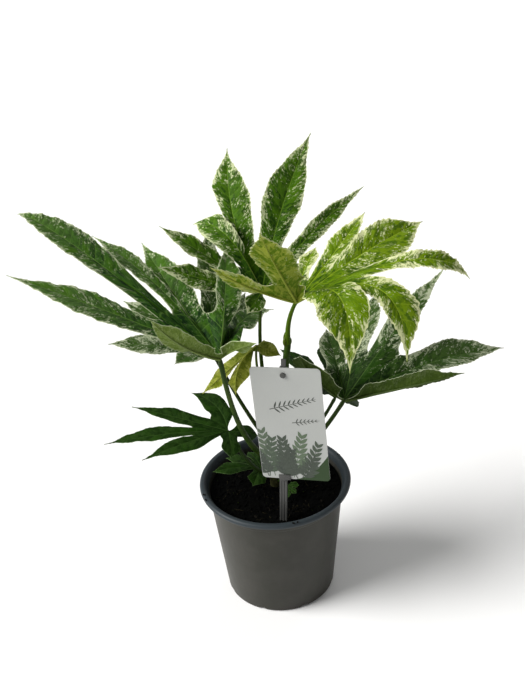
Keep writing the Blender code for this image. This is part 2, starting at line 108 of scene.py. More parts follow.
class Shader:
    """A material whose nodes are made by short calls and expressions."""

    def __init__(self, name: str, roughness: float = 0.5, specular: float = 0.5) -> None:
        """Start a material with one Principled shader.

        Args:
            name: The material's name.
            roughness: How matt the surface is, where nothing else drives it.
            specular: The strength of its plain reflection.
        """
        self.material = bpy.data.materials.new(name)
        self.material.use_nodes = True
        self.tree = self.material.node_tree
        self.surface = self.tree.nodes["Principled BSDF"]
        self.surface.inputs["Roughness"].default_value = roughness
        self.surface.inputs["Specular IOR Level"].default_value = specular

    def node(self, kind: str, settings: dict | None = None, inputs: dict | None = None) -> bpy.types.Node:
        """Add a node.

        Args:
            kind: The node's type, without its ShaderNode prefix.
            settings: The node's own settings, which are made first.
            inputs: Values or links for its sockets, by name or number.

        Returns:
            The new node.
        """
        made = self.tree.nodes.new("ShaderNode" + kind)
        for key, setting in (settings or {}).items():
            setattr(made, key, setting)
        for key, given in (inputs or {}).items():
            self.feed(made.inputs[key], given)
        return made

    def feed(self, socket: bpy.types.NodeSocket, given: object) -> None:
        """Link a socket, or set its own value where a plain value is given."""
        source = given.socket if isinstance(given, Value) else given
        if isinstance(source, bpy.types.NodeSocket):
            self.tree.links.new(source, socket)
        else:
            socket.default_value = source

    def math(self, operation: str, *values: "Value | float") -> Value:
        """Return the result of a Math node with this operation on the values."""
        made = self.node("Math", {"operation": operation}, dict(enumerate(values)))
        return Value(self, made.outputs[0])

    def smooth(self, value: Value, low: "Value | float", high: "Value | float") -> Value:
        """Return 0 below low and 1 above high, with a smooth step between."""
        made = self.node(
            "MapRange", {"interpolation_type": "SMOOTHSTEP"},
            {"Value": value, "From Min": low, "From Max": high},
        )
        return Value(self, made.outputs[0])

    def combine(self, x: "Value | float", y: "Value | float", z: "Value | float") -> bpy.types.NodeSocket:
        """Return a vector of three numbers."""
        return self.node("CombineXYZ", None, {0: x, 1: y, 2: z}).outputs[0]

    def noise(self, place: bpy.types.NodeSocket, scale: float, detail: float = 2.0,
              rough: float = 0.5) -> Value:
        """Return a noise pattern's value at a place, about 0.5 on average."""
        made = self.node(
            "TexNoise", None, {"Vector": place, "Scale": scale, "Detail": detail, "Roughness": rough},
        )
        return Value(self, made.outputs[0])

    def cells(self, place: bpy.types.NodeSocket, scale: float) -> Value:
        """Return the distance from a place to the nearest line of a net of cells."""
        made = self.node("TexVoronoi", {"feature": "DISTANCE_TO_EDGE"}, {"Vector": place, "Scale": scale})
        return Value(self, made.outputs[0])

    def lots(self, place: bpy.types.NodeSocket, scale: float) -> Value:
        """Return a random number from 0 to 1 for each small cell of the surface."""
        made = self.node("TexVoronoi", {"feature": "F1"}, {"Vector": place, "Scale": scale})
        parts = self.node("SeparateColor", None, {0: made.outputs["Color"]})
        return Value(self, parts.outputs[0])

    def warp(self, place: bpy.types.NodeSocket, scale: float, amount: float) -> bpy.types.NodeSocket:
        """Return a place shifted by a noise pattern, so that what is laid on it looks grown."""
        pattern = self.node("TexNoise", None, {"Vector": place, "Scale": scale, "Detail": 2.0})
        made = self.node(
            "VectorMath", {"operation": "MULTIPLY_ADD"},
            {0: pattern.outputs["Color"], 1: (amount, amount, 0.0), 2: place},
        )
        return made.outputs[0]

    def drawn(self, place: bpy.types.NodeSocket, share: float) -> bpy.types.NodeSocket:
        """Return a place with a share of its height, so that a pattern on it is drawn out upward."""
        return self.node("Mapping", None, {"Vector": place, "Scale": (1.0, 1.0, share)}).outputs[0]

    def mix(self, factor: Value, first: object, second: object) -> bpy.types.NodeSocket:
        """Return a colour between first and second."""
        made = self.node("Mix", {"data_type": "RGBA"}, {0: factor, 6: first, 7: second})
        return made.outputs[2]

    def uv(self, layer: str) -> tuple[Value, Value]:
        """Return the two numbers of a UV layer."""
        source = self.node("UVMap", {"uv_map": layer}).outputs[0]
        parts = self.node("SeparateXYZ", None, {0: source})
        return Value(self, parts.outputs[0]), Value(self, parts.outputs[1])

    def place(self) -> bpy.types.NodeSocket:
        """Return the place on the object, in metres."""
        return self.node("TexCoord").outputs["Object"]

    def dot(self, place: bpy.types.NodeSocket, direction: Vector) -> Value:
        """Return how far a place lies along a direction, in metres."""
        made = self.node("VectorMath", {"operation": "DOT_PRODUCT"}, {0: place, 1: tuple(direction)})
        return Value(self, made.outputs["Value"])

    def bump(self, height: Value, depth: float, strength: float = 1.0) -> None:
        """Raise the surface by a height pattern.

        Args:
            height: The pattern, from 0 to 1.
            depth: Its full height in metres.
            strength: How strongly it shows.
        """
        made = self.node("Bump", None, {"Strength": strength, "Distance": depth, "Height": height})
        self.feed(self.surface.inputs["Normal"], made.outputs[0])

    def finish(self, color: object, roughness: "Value | None" = None) -> bpy.types.Material:
        """Give the surface its colour, and its roughness where that varies, and return the material."""
        self.feed(self.surface.inputs["Base Color"], color)
        if roughness is not None:
            self.feed(self.surface.inputs["Roughness"], roughness)
        return self.material


@dataclass(frozen=True)
class LeafFinish:
    """How a leaf is coloured. Patterns follow its veins and margins.

    The UV layer "veins" holds the number of veins passed and the distance from the midrib, and "margin"
    holds the distance from the margin and the share of the way to the tip. Distances are centimetres.
    A share of the small cells is cream: most at the margin, fewer inward over the reach, in millimetres.
    """

    name: str
    deep: Color
    mid: Color
    cream: Color
    # The lighter yellow-green of the painted sunlit patches.
    painted_sun_green: Color
    vein: Color
    under: Color
    under_vein: Color
    stalk: Color
    margin_share: float
    reach: float
    inner_share: float
    rim_width: float
    under_flecks: float = 0.2
    vein_show: float = 0.6
    tip_light: float = 0.4
    marbling: float = 0.35
    hub_shade: float = 0.5
    gloss: float = 0.5
    shine: float = 0.06

    def masks(self, shader: Shader) -> tuple[Value, Value, Value, Value, Value]:
        """Work out the patterns that both faces of the blade share.

        Args:
            shader: The material that the patterns are for.

        Returns:
            The masks of cream flecks, of the grey cells round them, of lighter green, of veins, and of the
            fine net between veins.
        """
        phase, across = shader.uv("veins")
        edge, share = shader.uv("margin")
        plain = shader.combine(phase, across, 0.0)
        grown = shader.warp(plain, 5.0, 0.16)
        streaks = shader.warp(shader.combine(phase, across * 0.75, 0.0), 7.0, 0.16)
        patch = shader.noise(plain, 0.8, 2.0)
        draw = shader.lots(streaks, 7.0) * 0.65 + shader.lots(streaks, 16.0) * 0.35
        edge_mm = edge * MM_PER_CM
        near_edge = shader.math("EXPONENT", edge_mm / -self.reach)
        fecund = shader.smooth(patch, 0.38, 0.66) * shader.smooth(share, 0.1, 0.5)
        chance = near_edge * (fecund * 0.6 + 0.55) * self.margin_share + fecund * self.inner_share
        flecks = shader.smooth(chance - draw, -0.02, 0.03)
        ragged = (draw - 0.5) * self.rim_width
        rim = 1 - shader.smooth(edge_mm + ragged, self.rim_width * 0.6, self.rim_width)
        cream = shader.math("MAXIMUM", flecks, rim)
        halo = shader.smooth(chance * 1.6 + 0.04 - draw, -0.05, 0.05)
        mottle = shader.lots(grown, 2.3) * 0.5 + shader.lots(grown, 5.0) * 0.25
        mottle = mottle + shader.noise(grown, 1.2, 3.0) * 0.5
        green = shader.smooth(mottle, 0.46, 0.78)
        across_mm = shader.math("ABSOLUTE", across) * MM_PER_CM
        midrib = 1 - shader.smooth(across_mm / (1.3 - share), 0.35, 0.8)
        side_vein = 1 - shader.smooth(shader.math("PINGPONG", phase, 0.5) * 10, 0.1, 0.5)
        side_vein = side_vein * shader.smooth(edge_mm, 1.0, 7.0) * 0.5
        veins = shader.math("MAXIMUM", midrib, side_vein)
        net = 1 - shader.smooth(shader.cells(grown, 3.4), 0.0, 0.1)
        return cream, halo, green, veins, net

    def painted_sun_patches(self, shader: Shader) -> Value:
        """Return the mask of wide random patches of painted sunlight, where the green is lighter."""
        phase, across = shader.uv("veins")
        return shader.smooth(shader.noise(shader.combine(phase, across, 3.0), 0.5, 2.0), 0.48, 0.66)

    def top(self) -> bpy.types.Material:
        """Return the upper face: blocky greens, flecked cream toward the margin, with paler veins."""
        shader = Shader(self.name + "_top", self.gloss, self.shine)
        cream, halo, green, veins, net = self.masks(shader)
        _, share = shader.uv("margin")
        color = shader.mix(green, self.deep, self.mid)
        color = shader.mix((1 - shader.smooth(share, 0.05, 0.4)) * self.hub_shade, color, self.deep)
        color = shader.mix(shader.smooth(share, 0.25, 0.8) * self.tip_light, color, self.vein)
        # Painted sunlight: wide random patches mixed toward a lighter yellow-green.
        color = shader.mix(self.painted_sun_patches(shader) * 0.6, color, self.painted_sun_green)
        color = shader.mix(net * 0.12, color, self.vein)
        color = shader.mix(halo * 0.2, color, self.cream)
        color = shader.mix(cream * 0.9, color, self.cream)
        color = shader.mix(veins * self.vein_show, color, self.vein)
        shader.bump(1 - net * 0.5 - veins * 0.5, 0.0003, 0.5)
        return shader.finish(color, (1 - green) * 0.08 + self.gloss)

    def lower(self) -> bpy.types.Material:
        """Return the blade's lower face: matt and olive, with pale veins and faint flecks."""
        shader = Shader(self.name + "_under", 0.65, 0.1)
        cream, halo, green, veins, net = self.masks(shader)
        _, share = shader.uv("margin")
        shade_near_hub = (1 - shader.smooth(share, 0.1, 0.75)) * 0.45
        color = shader.mix((1 - green) * self.marbling, self.under, self.under_vein)
        color = shader.mix(shade_near_hub, color, self.stalk)
        color = shader.mix(halo * self.under_flecks * 0.4, color, self.under_vein)
        color = shader.mix(cream * self.under_flecks, color, self.cream)
        color = shader.mix(net * 0.2, color, self.stalk)
        color = shader.mix(veins * 0.6, color, self.under_vein)
        shader.bump(net * 0.5 + veins * 0.5, 0.0003, 0.5)
        return shader.finish(color, green * 0.1 + 0.6)

    def rib(self) -> bpy.types.Material:
        """Return the raised veins under the blade: smooth, with faint streaks."""
        shader = Shader(self.name + "_rib", 0.5, 0.15)
        streak = shader.noise(shader.place(), 60.0, 3.0)
        return shader.finish(shader.mix(streak * 0.5 + 0.3, self.stalk, self.under_vein))

    def petiole(self) -> bpy.types.Material:
        """Return the petiole: smooth, with long faint streaks."""
        shader = Shader(self.name + "_stalk", 0.45, 0.12)
        place = shader.place()
        streak = shader.noise(place, 90.0, 3.0)
        blush = shader.noise(place, 18.0, 2.0)
        color = shader.mix(shader.smooth(streak, 0.35, 0.75) * 0.22, self.stalk, self.under)
        color = shader.mix(shader.smooth(blush, 0.5, 0.75) * 0.1, color, self.under_vein)
        return shader.finish(color, streak * 0.2 + 0.4)


class LeafLook(Enum):
    """The finishes that this plant's leaves have."""

    GROWN = LeafFinish(
        "leaf_grown", deep=tone(12, 40, 12), mid=tone(46, 84, 22), cream=tone(194, 204, 164),
        painted_sun_green=tone(74, 118, 10), vein=tone(112, 150, 68), under=tone(86, 106, 38),
        under_vein=tone(130, 148, 78), stalk=tone(28, 50, 4),
        margin_share=0.46, reach=4.0, inner_share=0.2, rim_width=1.0, vein_show=0.75, tip_light=0.3,
    )
    BRIGHT = LeafFinish(
        "leaf_bright", deep=tone(20, 52, 4), mid=tone(56, 92, 10), cream=tone(198, 206, 160),
        painted_sun_green=tone(68, 108, 2), vein=tone(108, 144, 40), under=tone(84, 106, 26),
        under_vein=tone(130, 148, 60), stalk=tone(34, 58, 4),
        margin_share=0.52, reach=4.2, inner_share=0.2, rim_width=1.0, tip_light=0.1,
    )
    COOL = LeafFinish(
        "leaf_cool", deep=tone(14, 34, 6), mid=tone(42, 66, 22), cream=tone(178, 186, 156),
        painted_sun_green=tone(44, 80, 16), vein=tone(80, 108, 50), under=tone(48, 66, 12),
        under_vein=tone(72, 90, 34), stalk=tone(32, 50, 6),
        margin_share=0.55, reach=6.0, inner_share=0.3, rim_width=0.8, under_flecks=0.06,
    )
    YOUNG = LeafFinish(
        "leaf_young", deep=tone(38, 70, 1), mid=tone(88, 114, 4), cream=tone(204, 208, 158),
        painted_sun_green=tone(90, 122, 0), vein=tone(138, 162, 40), under=tone(80, 108, 4),
        under_vein=tone(156, 164, 62), stalk=tone(62, 86, 4),
        margin_share=0.72, reach=3.6, inner_share=0.22, rim_width=1.3, under_flecks=0.3,
        tip_light=0.1, marbling=0.7, hub_shade=0.1,
    )
    BUDDING = LeafFinish(
        "leaf_budding", deep=tone(70, 90, 6), mid=tone(142, 148, 42), cream=tone(204, 204, 124),
        painted_sun_green=tone(132, 144, 24), vein=tone(84, 102, 16), under=tone(98, 110, 16),
        under_vein=tone(150, 156, 56), stalk=tone(62, 80, 8),
        margin_share=0.5, reach=3.0, inner_share=0.32, rim_width=0.8, under_flecks=0.3,
        vein_show=0.5, tip_light=0.0, marbling=0.7, hub_shade=0.0,
    )
    GREEN = LeafFinish(
        "leaf_green", deep=tone(16, 40, 3), mid=tone(36, 60, 18), cream=tone(84, 110, 62),
        painted_sun_green=tone(34, 66, 10), vein=tone(56, 84, 34), under=tone(42, 58, 20),
        under_vein=tone(74, 90, 42), stalk=tone(32, 52, 10),
        margin_share=0.08, reach=2.0, inner_share=0.0, rim_width=0.3, under_flecks=0.0,
        vein_show=0.5, tip_light=0.1,
    )


@dataclass(frozen=True)
class Lobe:
    """One finger of a leaf. Its tip is stated from the hub.

    A positive sway bends it counterclockwise seen from above, a positive roll lifts its clockwise side,
    and a positive skew widens its counterclockwise side. It is widest and bends at shares of its way, and
    a spread over 1 lets it reach over its neighbours. The web to its counterclockwise neighbour is longer
    by its web factor.
    """

    tip: tuple[float, float, float]
    width: float
    lift: float = 0.0
    sway: float = 0.0
    roll: float = 0.0
    skew: float = 0.0
    widest: float = 0.46
    crest: float = 0.5
    spread: float = 1.0
    web: float = 1.0

    @property
    def length(self) -> float:
        """The straight distance from hub to tip."""
        return Vector(self.tip).length


def deselect() -> None:
    """Leave nothing selected."""
    bpy.ops.object.select_all(action="DESELECT")


def pick(*objects: bpy.types.Object) -> None:
    """Select these objects alone, and make the first of them active."""
    deselect()
    for item in objects:
        item.select_set(True)
    bpy.context.view_layer.objects.active = objects[0]


def edit(item: bpy.types.Object) -> None:
    """Open an object alone in edit mode, with its whole mesh selected."""
    pick(item)
    bpy.ops.object.mode_set(mode="EDIT")
    bpy.ops.mesh.select_all(action="SELECT")


def link(name: str, data: bpy.types.ID) -> bpy.types.Object:
    """Put a new object that has this mesh, curve, light or camera in the scene, and return it."""
    made = bpy.data.objects.new(name, data)
    bpy.context.scene.collection.objects.link(made)
    return made


def dress(item: bpy.types.Object, material: bpy.types.Material) -> None:
    """Give an object this material alone."""
    item.data.materials.clear()
    item.data.materials.append(material)


def join(name: str, objects: list[bpy.types.Object]) -> bpy.types.Object:
    """Join objects into the first of them.

    Args:
        name: The joined object's name.
        objects: What is joined.

    Returns:
        The joined object.
    """
    pick(*objects)
    if len(objects) > 1:
        bpy.ops.object.join()
    made = bpy.context.view_layer.objects.active
    made.name = name
    made.data.name = name
    return made


def apply_modifier(item: bpy.types.Object, kind: str, **settings: object) -> None:
    """Add a modifier with these settings to an object, and apply it."""
    pick(item)
    modifier = item.modifiers.new(kind.title(), kind)
    for key, setting in settings.items():
        setattr(modifier, key, setting)
    bpy.ops.object.modifier_apply(modifier=modifier.name)


def weld(item: bpy.types.Object, distance: float = 0.02, recalculate: bool = False) -> None:
    """Merge the points of a mesh that lie together.

    Args:
        item: The mesh object.
        distance: The distance within which points merge.
        recalculate: Whether the faces are then turned to point out.
    """
    edit(item)
    bpy.ops.mesh.remove_doubles(threshold=distance * MM)
    if recalculate:
        bpy.ops.mesh.normals_make_consistent(inside=False)
    bpy.ops.object.mode_set(mode="OBJECT")


def shade(item: bpy.types.Object, angle: float = 40.0) -> None:
    """Shade an object smooth, apart from edges sharper than an angle in degrees."""
    pick(item)
    bpy.ops.object.shade_smooth_by_angle(angle=math.radians(angle))


def move_points(item: bpy.types.Object, places: np.ndarray) -> None:
    """Put a mesh's points at places in millimetres."""
    item.data.vertices.foreach_set("co", (places * MM).astype(np.float32).ravel())
    item.data.update()


def points_of(item: bpy.types.Object) -> np.ndarray:
    """Return a mesh's points in millimetres."""
    flat = np.empty(len(item.data.vertices) * 3, np.float32)
    item.data.vertices.foreach_get("co", flat)
    return flat.reshape(-1, 3).astype(float) / MM


def grid(name: str, columns: int, rows: int) -> tuple[bpy.types.Object, np.ndarray, np.ndarray]:
    """Add a flat grid to be shaped by a formula.

    Args:
        name: The object's name.
        columns: The number of faces across.
        rows: The number of faces along.

    Returns:
        The grid, and the column and the row of each of its points.
    """
    deselect()
    bpy.ops.mesh.primitive_grid_add(x_subdivisions=columns, y_subdivisions=rows, size=2, calc_uvs=False)
    made = bpy.context.object
    made.name = name
    flat = points_of(made) * MM
    column = np.rint((flat[:, 0] + 1) / 2 * columns).astype(int)
    row = np.rint((flat[:, 1] + 1) / 2 * rows).astype(int)
    return made, column, row


def set_uv(item: bpy.types.Object, layer: str, first: np.ndarray, second: np.ndarray) -> None:
    """Store two numbers of each point of a mesh as a UV layer."""
    corners = np.empty(len(item.data.loops), np.int32)
    item.data.loops.foreach_get("vertex_index", corners)
    made = item.data.uv_layers.new(name=layer)
    both = np.stack([first[corners], second[corners]], axis=1)
    made.data.foreach_set("uv", both.astype(np.float32).ravel())


@dataclass
class Strand:
    """A tapered round strand through points."""

    path: np.ndarray
    radii: np.ndarray


def tubes(name: str, strands: list[Strand], sides: int, material: bpy.types.Material) -> bpy.types.Object:
    """Make round strands as one mesh.

    Args:
        name: The object's name.
        strands: The strands, in millimetres.
        sides: The curve's bevel resolution.
        material: What they are made of.

    Returns:
        The mesh object.
    """
    curve = bpy.data.curves.new(name, "CURVE")
    curve.dimensions = "3D"
    curve.bevel_depth = MM
    curve.bevel_resolution = sides
    curve.use_fill_caps = True
    for strand in strands:
        spline = curve.splines.new("POLY")
        spline.points.add(len(strand.path) - 1)
        for point, place, radius in zip(spline.points, strand.path, strand.radii):
            point.co = (*(place * MM), 1)
            point.radius = radius
    pick(link(name, curve))
    bpy.ops.object.convert(target="MESH")
    made = bpy.context.object
    dress(made, material)
    weld(made, 0.005, recalculate=True)
    return made


def bezier(start: np.ndarray, control: np.ndarray, end: np.ndarray, shares: np.ndarray) -> np.ndarray:
    """Return points on a quadratic Bezier curve at the given shares of its way."""
    near, middle, far = (1 - shares) ** 2, 2 * shares * (1 - shares), shares ** 2
    return near[:, None] * start + middle[:, None] * control + far[:, None] * end


SAMPLES = 161
SHARES = np.linspace(0.0, 1.0, SAMPLES)


def sample(table: np.ndarray, shares: np.ndarray) -> np.ndarray:
    """Read a table of places or directions, one for each of SHARES, at other shares."""
    return np.stack([np.interp(shares, SHARES, table[:, axis]) for axis in range(3)], axis=-1)


@dataclass
class Rib:
    """A lobe's midrib: its places, and the directions across and up from it."""

    place: np.ndarray
    across: np.ndarray
    up: np.ndarray


@dataclass
class Leaf:
    """A leaf with its petiole, grown from the same stated sizes as its solid.

    What all the leaves have in common is in capitals.
    """

    node: str
    look: LeafLook
    slot: str
    hub: tuple[float, float, float]
    seat: tuple[float, float, float]
    bow: tuple[float, float, float]
    petiole_radius: float
    sinus: float
    cup: float
    lobes: tuple[Lobe, ...]
    notch: tuple[float, float, float] = (0, 0, 0)
    sheath: float = 0.3
    tooth: float = 1.1
    ripple: float = 0.6
    row_pitch: float = 1.25
    rows_per_vein: int = 8
    columns: tuple[float, ...] = (0.0, 0.035, 0.1, 0.2, 0.34, 0.5, 0.66, 0.8, 0.91, 1.0)
    blade_thickness: float = 0.5
    seed: int = 1

    TAPER_POWER = 1.7
    BASE_SHARE = 0.6
    ROOM_SHARE = 0.84
    BASAL_SPREAD = 0.9
    SINUS_ROUND = 0.2
    ROLL_IN = 0.25
    TOOTH_ROWS = 4
    BASAL_WIDTH = 0.8
    WEB_ROW_STRETCH = 1.3
    VEIN_SLANT = 0.75
    VEIN_BEND = 1.15
    FULL_RELIEF_LENGTH = 120
    ARCH = 0.05
    GROOVE_DEPTH = 0.12
    GROOVE_WIDTH = 1.3
    VEIN_DEPTH = 0.25
    VEIN_ROWS = 0.7
    QUILT_HEIGHT = 0.3
    RIPPLE_LENGTHS = (23, 11)
    SWELL_LENGTH = 31
    SWELL_HEIGHT = 0.5
    LAST_PHASE = 6.28
    RIB_REACH = 0.93

    def normals(self) -> list[Vector]:
        """Return each lobe's own up direction, square to itself and to its neighbours."""
        tips = [Vector(lobe.tip) for lobe in self.lobes]
        found = []
        for index, tip in enumerate(tips):
            total = Vector()
            if index:
                total += tips[index - 1].cross(tip).normalized()
            if index + 1 < len(tips):
                total += tip.cross(tips[index + 1]).normalized()
            found.append(total.normalized())
        return found

    def rib(self, lobe: Lobe, normal: Vector) -> Rib:
        """Follow a lobe's midrib from the hub to its tip.

        Args:
            lobe: The lobe.
            normal: Its up direction.

        Returns:
            The midrib, from the hub, at each of SHARES.
        """
        tip = Vector(lobe.tip)
        side = normal.cross(tip).normalized()
        control = tip * lobe.crest + (normal * lobe.lift + side * lobe.sway) * 2
        up = (normal - control * normal.dot(control) / control.length_squared).normalized()
        last = control.normalized()
        across, ups = [], []
        for share in SHARES:
            along = (control * (1 - share) + (tip - control) * share).normalized()
            up = up.copy()
            up.rotate(last.rotation_difference(along))
            last = along
            rolled = up.copy()
            rolled.rotate(Quaternion(along, math.radians(-lobe.roll) * min(1.0, share / self.ROLL_IN)))
            across.append(rolled.cross(along).normalized())
            ups.append(rolled)
        place = bezier(np.zeros(3), np.array(control), np.array(tip), SHARES)
        return Rib(place, np.array(across), np.array(ups))

    def half_width(self, widest: float, at: float, base: float, share: np.ndarray) -> np.ndarray:
        """Half the width of a lobe's free part: swelling from its base, then drawn out to a point.

        Args:
            widest: The largest half width.
            at: The share at which it is widest.
            base: The half width at the sinus.
            share: The shares of the way from the sinus to the tip.

        Returns:
            The half width at each share.
        """
        swell = base + (widest - base) * np.sin(np.pi / 2 * np.minimum(share / at, 1))
        fall = np.clip((share - at) / (1 - at), 0, 1)
        taper = widest * (1 - fall) ** self.TAPER_POWER * (1 + self.TAPER_POWER * fall)
        return np.where(share <= at, swell, taper)

    def margin(self, index: int, ribs: list[Rib], side: int) -> np.ndarray:
        """Find the margin of one side of a lobe, from the hub to the tip.

        Args:
            index: The lobe's number.
            ribs: The midribs of all the lobes.
            side: 1 for the counterclockwise side, -1 for the other.

        Returns:
            The margin's places at each of SHARES. Up to the sinus it is the line shared with the next lobe.
        """
        lobe, own = self.lobes[index], ribs[index]
        widest = lobe.width / 2 * (1 + side * lobe.skew)
        outward = own.across * side + own.up * self.cup
        length = np.linalg.norm(own.place, axis=1)
        free = np.clip((SHARES - self.sinus) / (1 - self.sinus), 0, 1)
        if 0 <= index + side < len(self.lobes):
            beside = ribs[index + side].place
            other = np.linalg.norm(beside, axis=1)
            total = own.place + beside
            total /= np.maximum(np.linalg.norm(total, axis=1), 1e-9)[:, None]
            web_reach = self.lobes[min(index, index + side)].web
            web = total * np.minimum(length, other)[:, None] * web_reach
            cosine = (own.place * beside).sum(1) / np.maximum(length * other, 1e-9)
            angle = np.arccos(np.clip(cosine, -1, 1))
            apart = np.minimum(np.linalg.norm(own.place - beside, axis=1) / 2, length * np.tan(angle / 2))
            room = apart * self.ROOM_SHARE * lobe.spread
            base = min(widest * self.BASE_SHARE, float(np.interp(self.sinus, SHARES, room)))
        else:
            room = np.full(SAMPLES, widest * 2)
            base = widest * self.BASAL_WIDTH
            reach = np.clip(SHARES / self.sinus, 0, 1) ** 0.8
            web = own.place + outward * np.minimum(base * 1.1, length * self.BASAL_SPREAD * reach)[:, None]
            web += np.array(self.notch) * (1 - np.clip(SHARES / self.sinus, 0, 1))[:, None] ** 2
        at_sinus = sample(web, np.array([self.sinus]))
        natural = sample(own.place, np.array([self.sinus])) + sample(outward, np.array([self.sinus])) * base
        drawn = np.maximum(0, 1 - free / self.SINUS_ROUND)
        fade = 1 - np.sqrt(np.maximum(0, 1 - drawn ** 2))
        width = np.minimum(self.half_width(widest, lobe.widest, base, free), room)
        loose = own.place + outward * width[:, None] + (at_sinus - natural) * fade[:, None]
        return np.where((SHARES <= self.sinus)[:, None], web, loose)

    def rows(self, index: int, margins: dict[int, np.ndarray],
             place: np.ndarray) -> tuple[np.ndarray, np.ndarray]:
        """Lay the rows of a lobe, which slant forward from the midrib as its veins do.

        Args:
            index: The lobe's number.
            margins: Its two margins, by side.
            place: Its midrib's places.

        Returns:
            The share at which each row meets the margin, and the share at which it leaves the midrib.
        """
        length = self.lobes[index].length
        mean = sum(lobe.length for lobe in self.lobes) / len(self.lobes)
        web_rows = max(5, round(self.sinus * mean / self.row_pitch / self.WEB_ROW_STRETCH))
        free_rows = max(16, round((1 - self.sinus) * length / self.row_pitch))
        meets = np.concatenate([
            np.linspace(0, self.sinus, web_rows + 1), np.linspace(self.sinus, 1, free_rows + 1)[1:],
        ])
        reach = sum(np.linalg.norm(margins[side] - place, axis=1) for side in (-1, 1)) / 2
        slant = self.VEIN_SLANT * np.interp(meets, SHARES, reach) / length
        leaves = np.maximum.accumulate(np.clip(meets - slant, 0, 1))
        leaves[0], leaves[-1] = 0.0, 1.0
        return meets, leaves

    def half(self, index: int, ribs: list[Rib], side: int, rows: tuple[np.ndarray, np.ndarray],
             margin: np.ndarray, chance: np.random.Generator) -> bpy.types.Object:
        """Make one side of a lobe as a sheet, with its veins, quilting, ripples and teeth.

        Args:
            index: The lobe's number.
            ribs: The midribs of all the lobes.
            side: 1 for the counterclockwise side, -1 for the other.
            rows: Where each row meets the margin and leaves the midrib.
            margin: This side's margin.
            chance: The source of random numbers.

        Returns:
            The sheet, around the leaf's hub.
        """
        meets, leaves = rows
        last_column = len(self.columns) - 1
        made, column, row = grid(f"{self.node}_half", last_column, len(meets) - 1)
        step = column if side < 0 else last_column - column
        reach = np.array(self.columns)[step]
        meet, leave = meets[row], leaves[row]
        share = leave + (meet - leave) * reach ** self.VEIN_BEND
        own = ribs[index]
        middle, edge = sample(own.place, share), sample(margin, share)
        up = sample(own.up, share)
        span = edge - middle
        width = np.linalg.norm(span, axis=1)
        outward = span / np.maximum(width, 1e-6)[:, None]
        free = np.clip((meet - self.sinus) / 0.12, 0, 1)
        joined = 0 <= index + side < len(self.lobes)
        loose = free if joined else np.clip(meet / 0.2, 0, 1)
        closing = 1 - reach ** 6 * (1 - loose)
        phase = row / self.rows_per_vein
        off_vein = np.abs(phase - np.rint(phase)) * self.rows_per_vein
        scale = min(1.0, self.lobes[index].length / self.FULL_RELIEF_LENGTH)
        across = np.sin(np.pi * reach)
        arch = self.ARCH * width * across
        groove = -self.GROOVE_DEPTH * scale * np.exp(-(reach * width / self.GROOVE_WIDTH) ** 2)
        groove *= 1 - 0.6 * share
        veins = -self.VEIN_DEPTH * scale * np.exp(-(off_vein / self.VEIN_ROWS) ** 2) * np.sqrt(across)
        quilt = self.QUILT_HEIGHT * scale * np.sin(np.pi * phase) ** 2 * across
        arc = meet * self.lobes[index].length
        long_wave, short_wave = self.RIPPLE_LENGTHS
        wave = np.sin(2 * np.pi * arc / long_wave + chance.uniform(0, self.LAST_PHASE))
        wave += 0.6 * np.sin(2 * np.pi * arc / short_wave + chance.uniform(0, self.LAST_PHASE))
        ripple = self.ripple * scale * wave * reach ** 3 * loose * np.clip((1 - meet) / 0.15, 0, 1)
        lift = (arch + groove + veins + quilt + ripple) * closing
        sizes = chance.uniform(0.5, 1.35, len(meets))
        web_row = int(np.searchsorted(meets, self.sinus + 1e-6))
        in_tooth = (row - web_row) % self.TOOTH_ROWS
        tooth = self.tooth * scale * (in_tooth / self.TOOTH_ROWS) * sizes[(row - in_tooth).clip(0)]
        swell = np.sin(2 * np.pi * arc / self.SWELL_LENGTH + chance.uniform(0, self.LAST_PHASE))
        tooth += self.SWELL_HEIGHT * scale * swell
        tooth *= loose * np.clip((1 - meet) / 0.08, 0, 1) * reach ** 8
        places = middle + span * reach[:, None] + up * lift[:, None] + outward * tooth[:, None]
        move_points(made, places)
        web_left = np.maximum(0, self.sinus - share) * self.lobes[index].length if joined else 0.0
        set_uv(made, "veins", phase + 7 * index + 3 * (side > 0), side * reach * width / MM_PER_CM)
        set_uv(made, "margin", ((1 - reach) * width + web_left) / MM_PER_CM, share)
        return made

    def stalk(self) -> Strand:
        """Return the petiole, from its seat on the stem to the hub, with its swollen foot."""
        shares = np.linspace(0, 1, 28)
        seat, bow, hub = np.array(self.seat, float), np.array(self.bow, float), np.array(self.hub, float)
        path = bezier(seat, bow * 2 - (seat + hub) / 2, hub, shares)
        factors = 1.3 - 0.52 * np.sqrt(shares) + self.sheath * np.exp(-(shares / 0.05) ** 2)
        factors += 0.16 * np.exp(-((1 - shares) / 0.05) ** 2)
        factors[-1] = 0.5
        return Strand(path, factors * self.petiole_radius)

    def raised_veins(self, ribs: list[Rib]) -> list[Strand]:
        """Return the midribs that stand out under the blade."""
        found = []
        for lobe, own in zip(self.lobes, ribs):
            shares = np.linspace(0.0, self.RIB_REACH, max(8, int(lobe.length / 5)))
            start = min(1.25, lobe.length / 90) * self.petiole_radius / 2.6
            radii = start * (1 - shares) ** 0.8 + 0.22
            sunk = sample(own.up, shares) * (self.blade_thickness + radii * 0.8)[:, None]
            found.append(Strand(sample(own.place, shares) - sunk + np.array(self.hub), radii))
        return found

